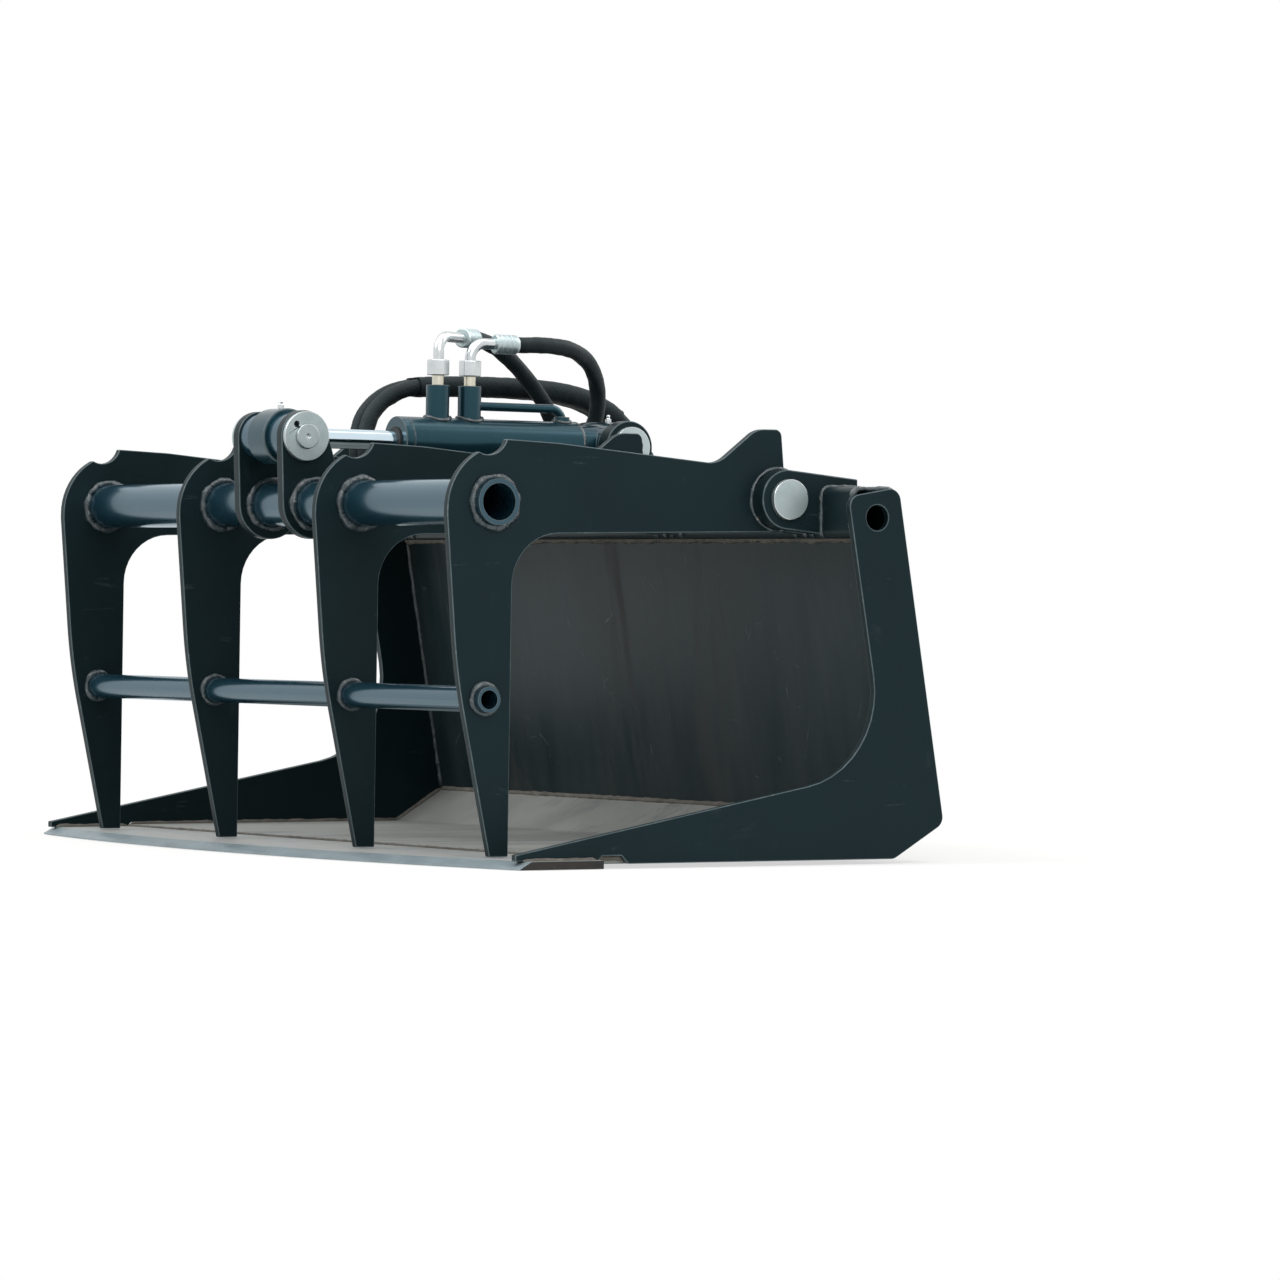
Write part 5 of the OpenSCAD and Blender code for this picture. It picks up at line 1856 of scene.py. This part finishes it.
@dataclass
class Pins:
    """Pins, washers, rings and bushings of the three pivots."""

    # Widths of the broken edges
    head_edge: float = 1.0
    washer_edge: float = 0.8
    collar_edge: float = 1.4
    ring_edge: float = 0.3
    bushing_edge: float = 0.4

    def build(self, shop: Finishes) -> None:
        """Dresses pins, washers, rings and bushings.

        Args:
            shop: Finishes.
        """
        for node, body, width in (
            ("pivot_pins", Body.BUCKET, self.head_edge),
            ("base_pin", Body.BUCKET, self.head_edge),
            ("base_pin_washers", Body.BUCKET, self.washer_edge),
            ("rod_pin", Body.GRAPPLE, self.washer_edge),
            ("rod_pin_washers", Body.GRAPPLE, self.washer_edge),
        ):
            soften(node, body, shop.dull_zinc, shop.zinc, width)
        soften("rod_pin_collars", Body.GRAPPLE, shop.gloss, shop.paint_edge, self.collar_edge)
        for node, body in (
            ("pivot_rings", Body.BUCKET),
            ("base_pin_ring", Body.BUCKET),
            ("rod_pin_ring", Body.GRAPPLE),
        ):
            soften(node, body, shop.steel, shop.steel, self.ring_edge)
        for node, body in (("pivot_bushings", Body.GRAPPLE), ("base_bushing", Body.BARREL)):
            soften(node, body, shop.bronze, shop.bronze, self.bushing_edge)


@dataclass
class Grapple:
    """Four tines on two cross tubes, with the clevis that the cylinder pushes on."""

    clevis_faces: Span = (41.0, 53.0)
    # Widths of the broken edges of tines, tubes and clevis plates
    tine_edge: float = 0.9
    tube_edge: float = 0.6
    clevis_edge: float = 1.0
    # Radii of the weld beads round the tubes, the clevis and the bushings
    upper_bead: float = 4.0
    lower_bead: float = 3.1
    clevis_bead: float = 3.8
    bush_bead: float = 1.9
    bush_weld_r: float = 30.0
    # Middle of a tube's bead off the tine, and off the tube as a share of the bead's radius
    off_tine: float = 0.6
    off_tube: float = 0.45
    # Middle of a clevis bead off its plate and off the tube, and of a bushing's bead off the tine
    off_clevis: float = 0.5
    clevis_off_tube: float = 1.6
    bush_off_tine: float = 0.4

    def build(self, shop: Finishes, link: Linkage) -> None:
        """Dresses tines, tubes and clevis, and lays the welds.

        Args:
            shop: Finishes.
            link: Shared places.
        """
        for number in range(1, 5):
            soften(f"tine_{number}", Body.GRAPPLE, shop.paint, shop.paint_edge, self.tine_edge)
        for node in ("upper_tube", "lower_tube"):
            soften(node, Body.GRAPPLE, shop.gloss, shop.paint_edge, self.tube_edge)
        soften("clevis_plates", Body.GRAPPLE, shop.paint, shop.paint_edge, self.clevis_edge)
        parts = []
        for tube, diameter, radius in (
            (link.upper_tube, link.upper_d, self.upper_bead),
            (link.lower_tube, link.lower_d, self.lower_bead),
        ):
            for number, x in enumerate(link.tines):
                for side in (-1, 1):
                    bead = Bead(radius, ripple=2.2, lump=0.42, seed=number * 7 + side * 3 + radius)
                    centre = place(x + side * (link.tine_t / 2 + self.off_tine), *tube)
                    parts.append(bead.ring("bead", centre, diameter / 2 + radius * self.off_tube))
        for side in (-1, 1):
            for face, out in zip(self.clevis_faces, (-1, 1)):
                bead = Bead(self.clevis_bead, ripple=2.2, lump=0.42, seed=side * 5 + face)
                centre = place(side * (face + out * self.off_clevis), *link.upper_tube)
                parts.append(bead.ring("bead", centre, link.upper_d / 2 + self.clevis_off_tube))
        for number, x in enumerate(link.tines):
            for side in (-1, 1):
                bead = Bead(self.bush_bead, ripple=2.6, lump=0.4, seed=number * 3 + side)
                centre = place(x + side * (link.tine_t / 2 + self.bush_off_tine), *link.pivot)
                parts.append(bead.ring("bead", centre, self.bush_weld_r, steps=60))
        welded("grapple_welds", parts, Body.GRAPPLE, shop.weld)


@dataclass
class Cylinder:
    """The hydraulic cylinder with its ports, hard line and hose fittings."""

    port_front: float = 201.0
    port_rear: float = 164.0
    stub_r: float = 12.0
    barrel_r: float = 25.0
    base_weld: float = 41.5
    # Start of each near ferrule: from its port, above the axis, and its turn about the port in degrees
    reach: tuple[float, float] = (46.0, 28.0)
    height: tuple[float, float] = (108.0, 102.0)
    turn: tuple[float, float] = (30.0, 0.0)
    ferrule_l: float = 26.0
    ferrule_r: float = 10.0
    line_boss: float = 55.0
    boss_r: float = 8.0
    eye_r: float = 26.0
    rod_eye_r: float = 28.5
    pin_to_pin: float = 380.562
    # Widths of the broken edges of tubes, gland and nuts, small fittings, and the rod eye
    tube_edge: float = 0.7
    gland_edge: float = 1.0
    fine_edge: float = 0.4
    eye_edge: float = 1.8
    eye_steps: int = 3
    # Radii of the weld rings at the barrel's base and the rod's neck, and of the saddle on the rod eye
    base_ring_r: float = 22.8
    neck_ring_r: float = 10.9
    saddle_r: float = 15.6
    # Length of the neck between the rod eye and its ring
    neck_l: float = 11.6
    # Radii of the beads round the base, the ports, the neck and the rod eye
    base_bead: float = 2.6
    port_bead: float = 2.2
    neck_bead: float = 2.0
    eye_bead: float = 2.4
    # How far a bead's line lies off the part that it runs round, off the barrel and off the rod eye
    off_part: float = 0.6
    off_barrel: float = 0.4
    off_eye: float = 0.5

    # Steps round a weld ring
    RING_STEPS: ClassVar[int] = 40

    def build(self, shop: Finishes, link: Linkage) -> None:
        """Dresses the cylinder.

        Args:
            shop: Finishes.
            link: Shared places.
        """
        for node in ("barrel_tube", "barrel_base", "port_stubs", "hard_line"):
            soften(node, Body.BARREL, shop.cylinder, shop.paint_edge, self.tube_edge)
        soften("gland", Body.BARREL, shop.cylinder, shop.paint_edge, self.gland_edge)
        for node, body, finish, width, slot in (
            ("rod_wiper", Body.BARREL, shop.cap, self.fine_edge, "rubber"),
            ("port_adapters", Body.BARREL, shop.yellow_zinc, self.fine_edge, "zinc"),
            ("hose_elbows", Body.BARREL, shop.zinc, self.fine_edge, "zinc"),
            ("hose_nuts", Body.BARREL, shop.zinc, self.gland_edge, "zinc"),
            ("piston_rod", Body.ROD, shop.chrome, self.fine_edge, "chrome"),
        ):
            soften(node, body, finish, finish, width)
        soften("rod_eye", Body.ROD, shop.cylinder, shop.paint_edge, self.eye_edge, self.eye_steps)
        self._ferrules(shop, link)
        self._nipples(shop, link)
        self._welds(shop, link)
        inner = {"piston": shop.steel, "piston_nut": shop.steel, "piston_seal": shop.cap}
        for node, finish in inner.items():
            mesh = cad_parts[node].data
            mesh.materials.clear()
            mesh.materials.append(finish)

    def _ferrules(self, shop: Finishes, link: Linkage) -> None:
        """Puts a crimped ferrule on each hose's near end.

        Args:
            shop: Finishes.
            link: Shared places.
        """
        stock = HoseEnds().crimped("hose_ferrule_1", self.ferrule_l, self.ferrule_r)
        parts = [stock, copied(stock, "hose_ferrule_2")]
        ports = (self.port_front, self.port_rear)
        for piece, port, reach, height, turn in zip(parts, ports, self.reach, self.height, self.turn):
            across, back = math.sin(math.radians(turn)), math.cos(math.radians(turn))
            a, b = (
                link.on_cylinder(-across * d, port - back * d, height)
                for d in (reach, reach + self.ferrule_l)
            )
            stand(piece, a, b - a)
            settle(piece, Body.BARREL, (shop.dull_zinc,), ("hose_ferrules",))

    def _nipples(self, shop: Finishes, link: Linkage) -> None:
        """Puts a grease nipple on each eye.

        Args:
            shop: Finishes.
            link: Shared places.
        """
        section = [
            (0.0, -1.0), (2.4, -1.0), (2.4, 0.4), (3.2, 0.5), (3.2, 3.4), (2.0, 3.9), (1.6, 4.8),
            (1.9, 5.6), (2.1, 6.4), (1.7, 7.4), (0.8, 8.0), (0.0, 8.0),
        ]
        for node, u, radius, body in (
            ("base_nipple", 0.0, self.eye_r, Body.BARREL),
            ("rod_nipple", self.pin_to_pin, self.rod_eye_r, Body.ROD),
        ):
            piece = turned("greased_" + node, section, steps=24)
            stand(piece, link.on_cylinder(0, u, radius), link.upward())
            settle(piece, body, (shop.zinc,), (node,))

    def _welds(self, shop: Finishes, link: Linkage) -> None:
        """Lays the beads on the barrel and on the rod.

        Args:
            shop: Finishes.
            link: Shared places.
        """
        base = self._ring(link, self.base_weld - self.off_part, self.base_ring_r)
        parts = [Bead(self.base_bead, seed=1.0).lay("bead", base, closed=True)]
        for port, radius in (
            (self.port_front, self.stub_r),
            (self.port_rear, self.stub_r),
            (self.line_boss, self.boss_r),
        ):
            saddle = []
            for a in self._circle():
                x = (radius + self.off_part) * math.cos(a)
                above = math.sqrt(self.barrel_r * self.barrel_r - x * x) + self.off_barrel
                saddle.append(link.on_cylinder(x, port + (radius + self.off_part) * math.sin(a), above))
            parts.append(Bead(self.port_bead, ripple=2.2, seed=port).lay("bead", saddle, closed=True))
        welded("barrel_welds", parts, Body.BARREL, shop.weld)
        start = self.pin_to_pin - self.rod_eye_r - self.neck_l
        neck = self._ring(link, start, self.neck_ring_r)
        rings = [Bead(self.neck_bead, ripple=2.2, seed=2.0).lay("bead", neck, closed=True)]
        r = self.rod_eye_r + self.off_eye
        saddle = []
        for a in self._circle():
            h = self.saddle_r * math.sin(a)
            u = self.pin_to_pin - math.sqrt(r * r - h * h)
            saddle.append(link.on_cylinder(self.saddle_r * math.cos(a), u, h))
        rings.append(Bead(self.eye_bead, ripple=2.6, lump=0.4, seed=8.0).lay("bead", saddle, closed=True))
        welded("rod_welds", rings, Body.ROD, shop.weld)

    def _circle(self) -> list[float]:
        """Angles of the corners of a weld ring."""
        return [math.tau * i / self.RING_STEPS for i in range(self.RING_STEPS)]

    def _ring(self, link: Linkage, u: float, radius: float) -> list[Vector]:
        """Corners of a ring round the cylinder's axis, at a distance from the base pin."""
        return [link.on_cylinder(radius * math.cos(a), u, radius * math.sin(a)) for a in self._circle()]


@dataclass
class CarrierMount:
    """The plate, hook, shelf and gussets behind the bucket."""

    width: float = 470.0
    face: float = 488.0
    thick: float = 8.0
    low: float = 62.0
    high: float = 332.0
    gusset_t: float = 8.0
    gusset_shares: tuple[float, ...] = (-0.96, -0.36, 0.36, 0.96)
    plate_edge: float = 0.9
    # Thickness of the leaning back plate, measured level
    back_level_t: float = 6.08
    # Z between which the gussets' beads run, and how far the plate's beads end from its sides
    bead_z: Span = (73.0, 320.0)
    bead_inset: float = 3.0
    # Radii of the beads along the gussets and the shelf, and under the hook
    plate_bead: float = 2.6
    hook_bead: float = 2.4

    def build(self, shop: Finishes, shell: Shell) -> None:
        """Dresses the mount and lays its welds.

        Args:
            shop: Finishes.
            shell: The bucket in front of it.
        """
        for node in ("mount_plate", "mount_hook", "mount_shelf", "mount_gussets"):
            soften(node, Body.BUCKET, shop.paint, shop.paint_edge, self.plate_edge)
        half = self.width / 2
        parts = []
        for share in self.gusset_shares:
            for side in (-1, 1):
                x = share * half + side * self.gusset_t / 2
                on_plate = [place(x, self.face, z) for z in self.bead_z]
                parts.append(Bead(self.plate_bead).lay("bead", on_plate))
                on_back = [place(x, shell.back_at(z) + self.back_level_t, z) for z in self.bead_z]
                parts.append(Bead(self.plate_bead, seed=3.0).lay("bead", on_back))
        ends = (self.bead_inset - half, half - self.bead_inset)
        under_hook = [place(x, self.face, self.high) for x in ends]
        parts.append(Bead(self.hook_bead).lay("bead", under_hook))
        on_shelf = [place(x, self.face + self.thick, self.low) for x in ends]
        parts.append(Bead(self.plate_bead).lay("bead", on_shelf))
        welded("mount_welds", parts, Body.BUCKET, shop.weld)


def main() -> None:
    """Builds the scene: camera and hoses first, then the rest of the bucket."""
    logging.basicConfig(level=logging.INFO, format="%(name)s: %(message)s")
    noise.seed_set(NOISE_SEED)
    Studio().build()
    shop = Finishes()
    Hoses().build(shop)
    link = Linkage()
    shell = Shell()
    shell.build(shop, link)
    CarrierMount().build(shop, shell)
    Grapple().build(shop, link)
    Cylinder().build(shop, link)
    Pins().build(shop)


if __name__ == "__main__":
    main()
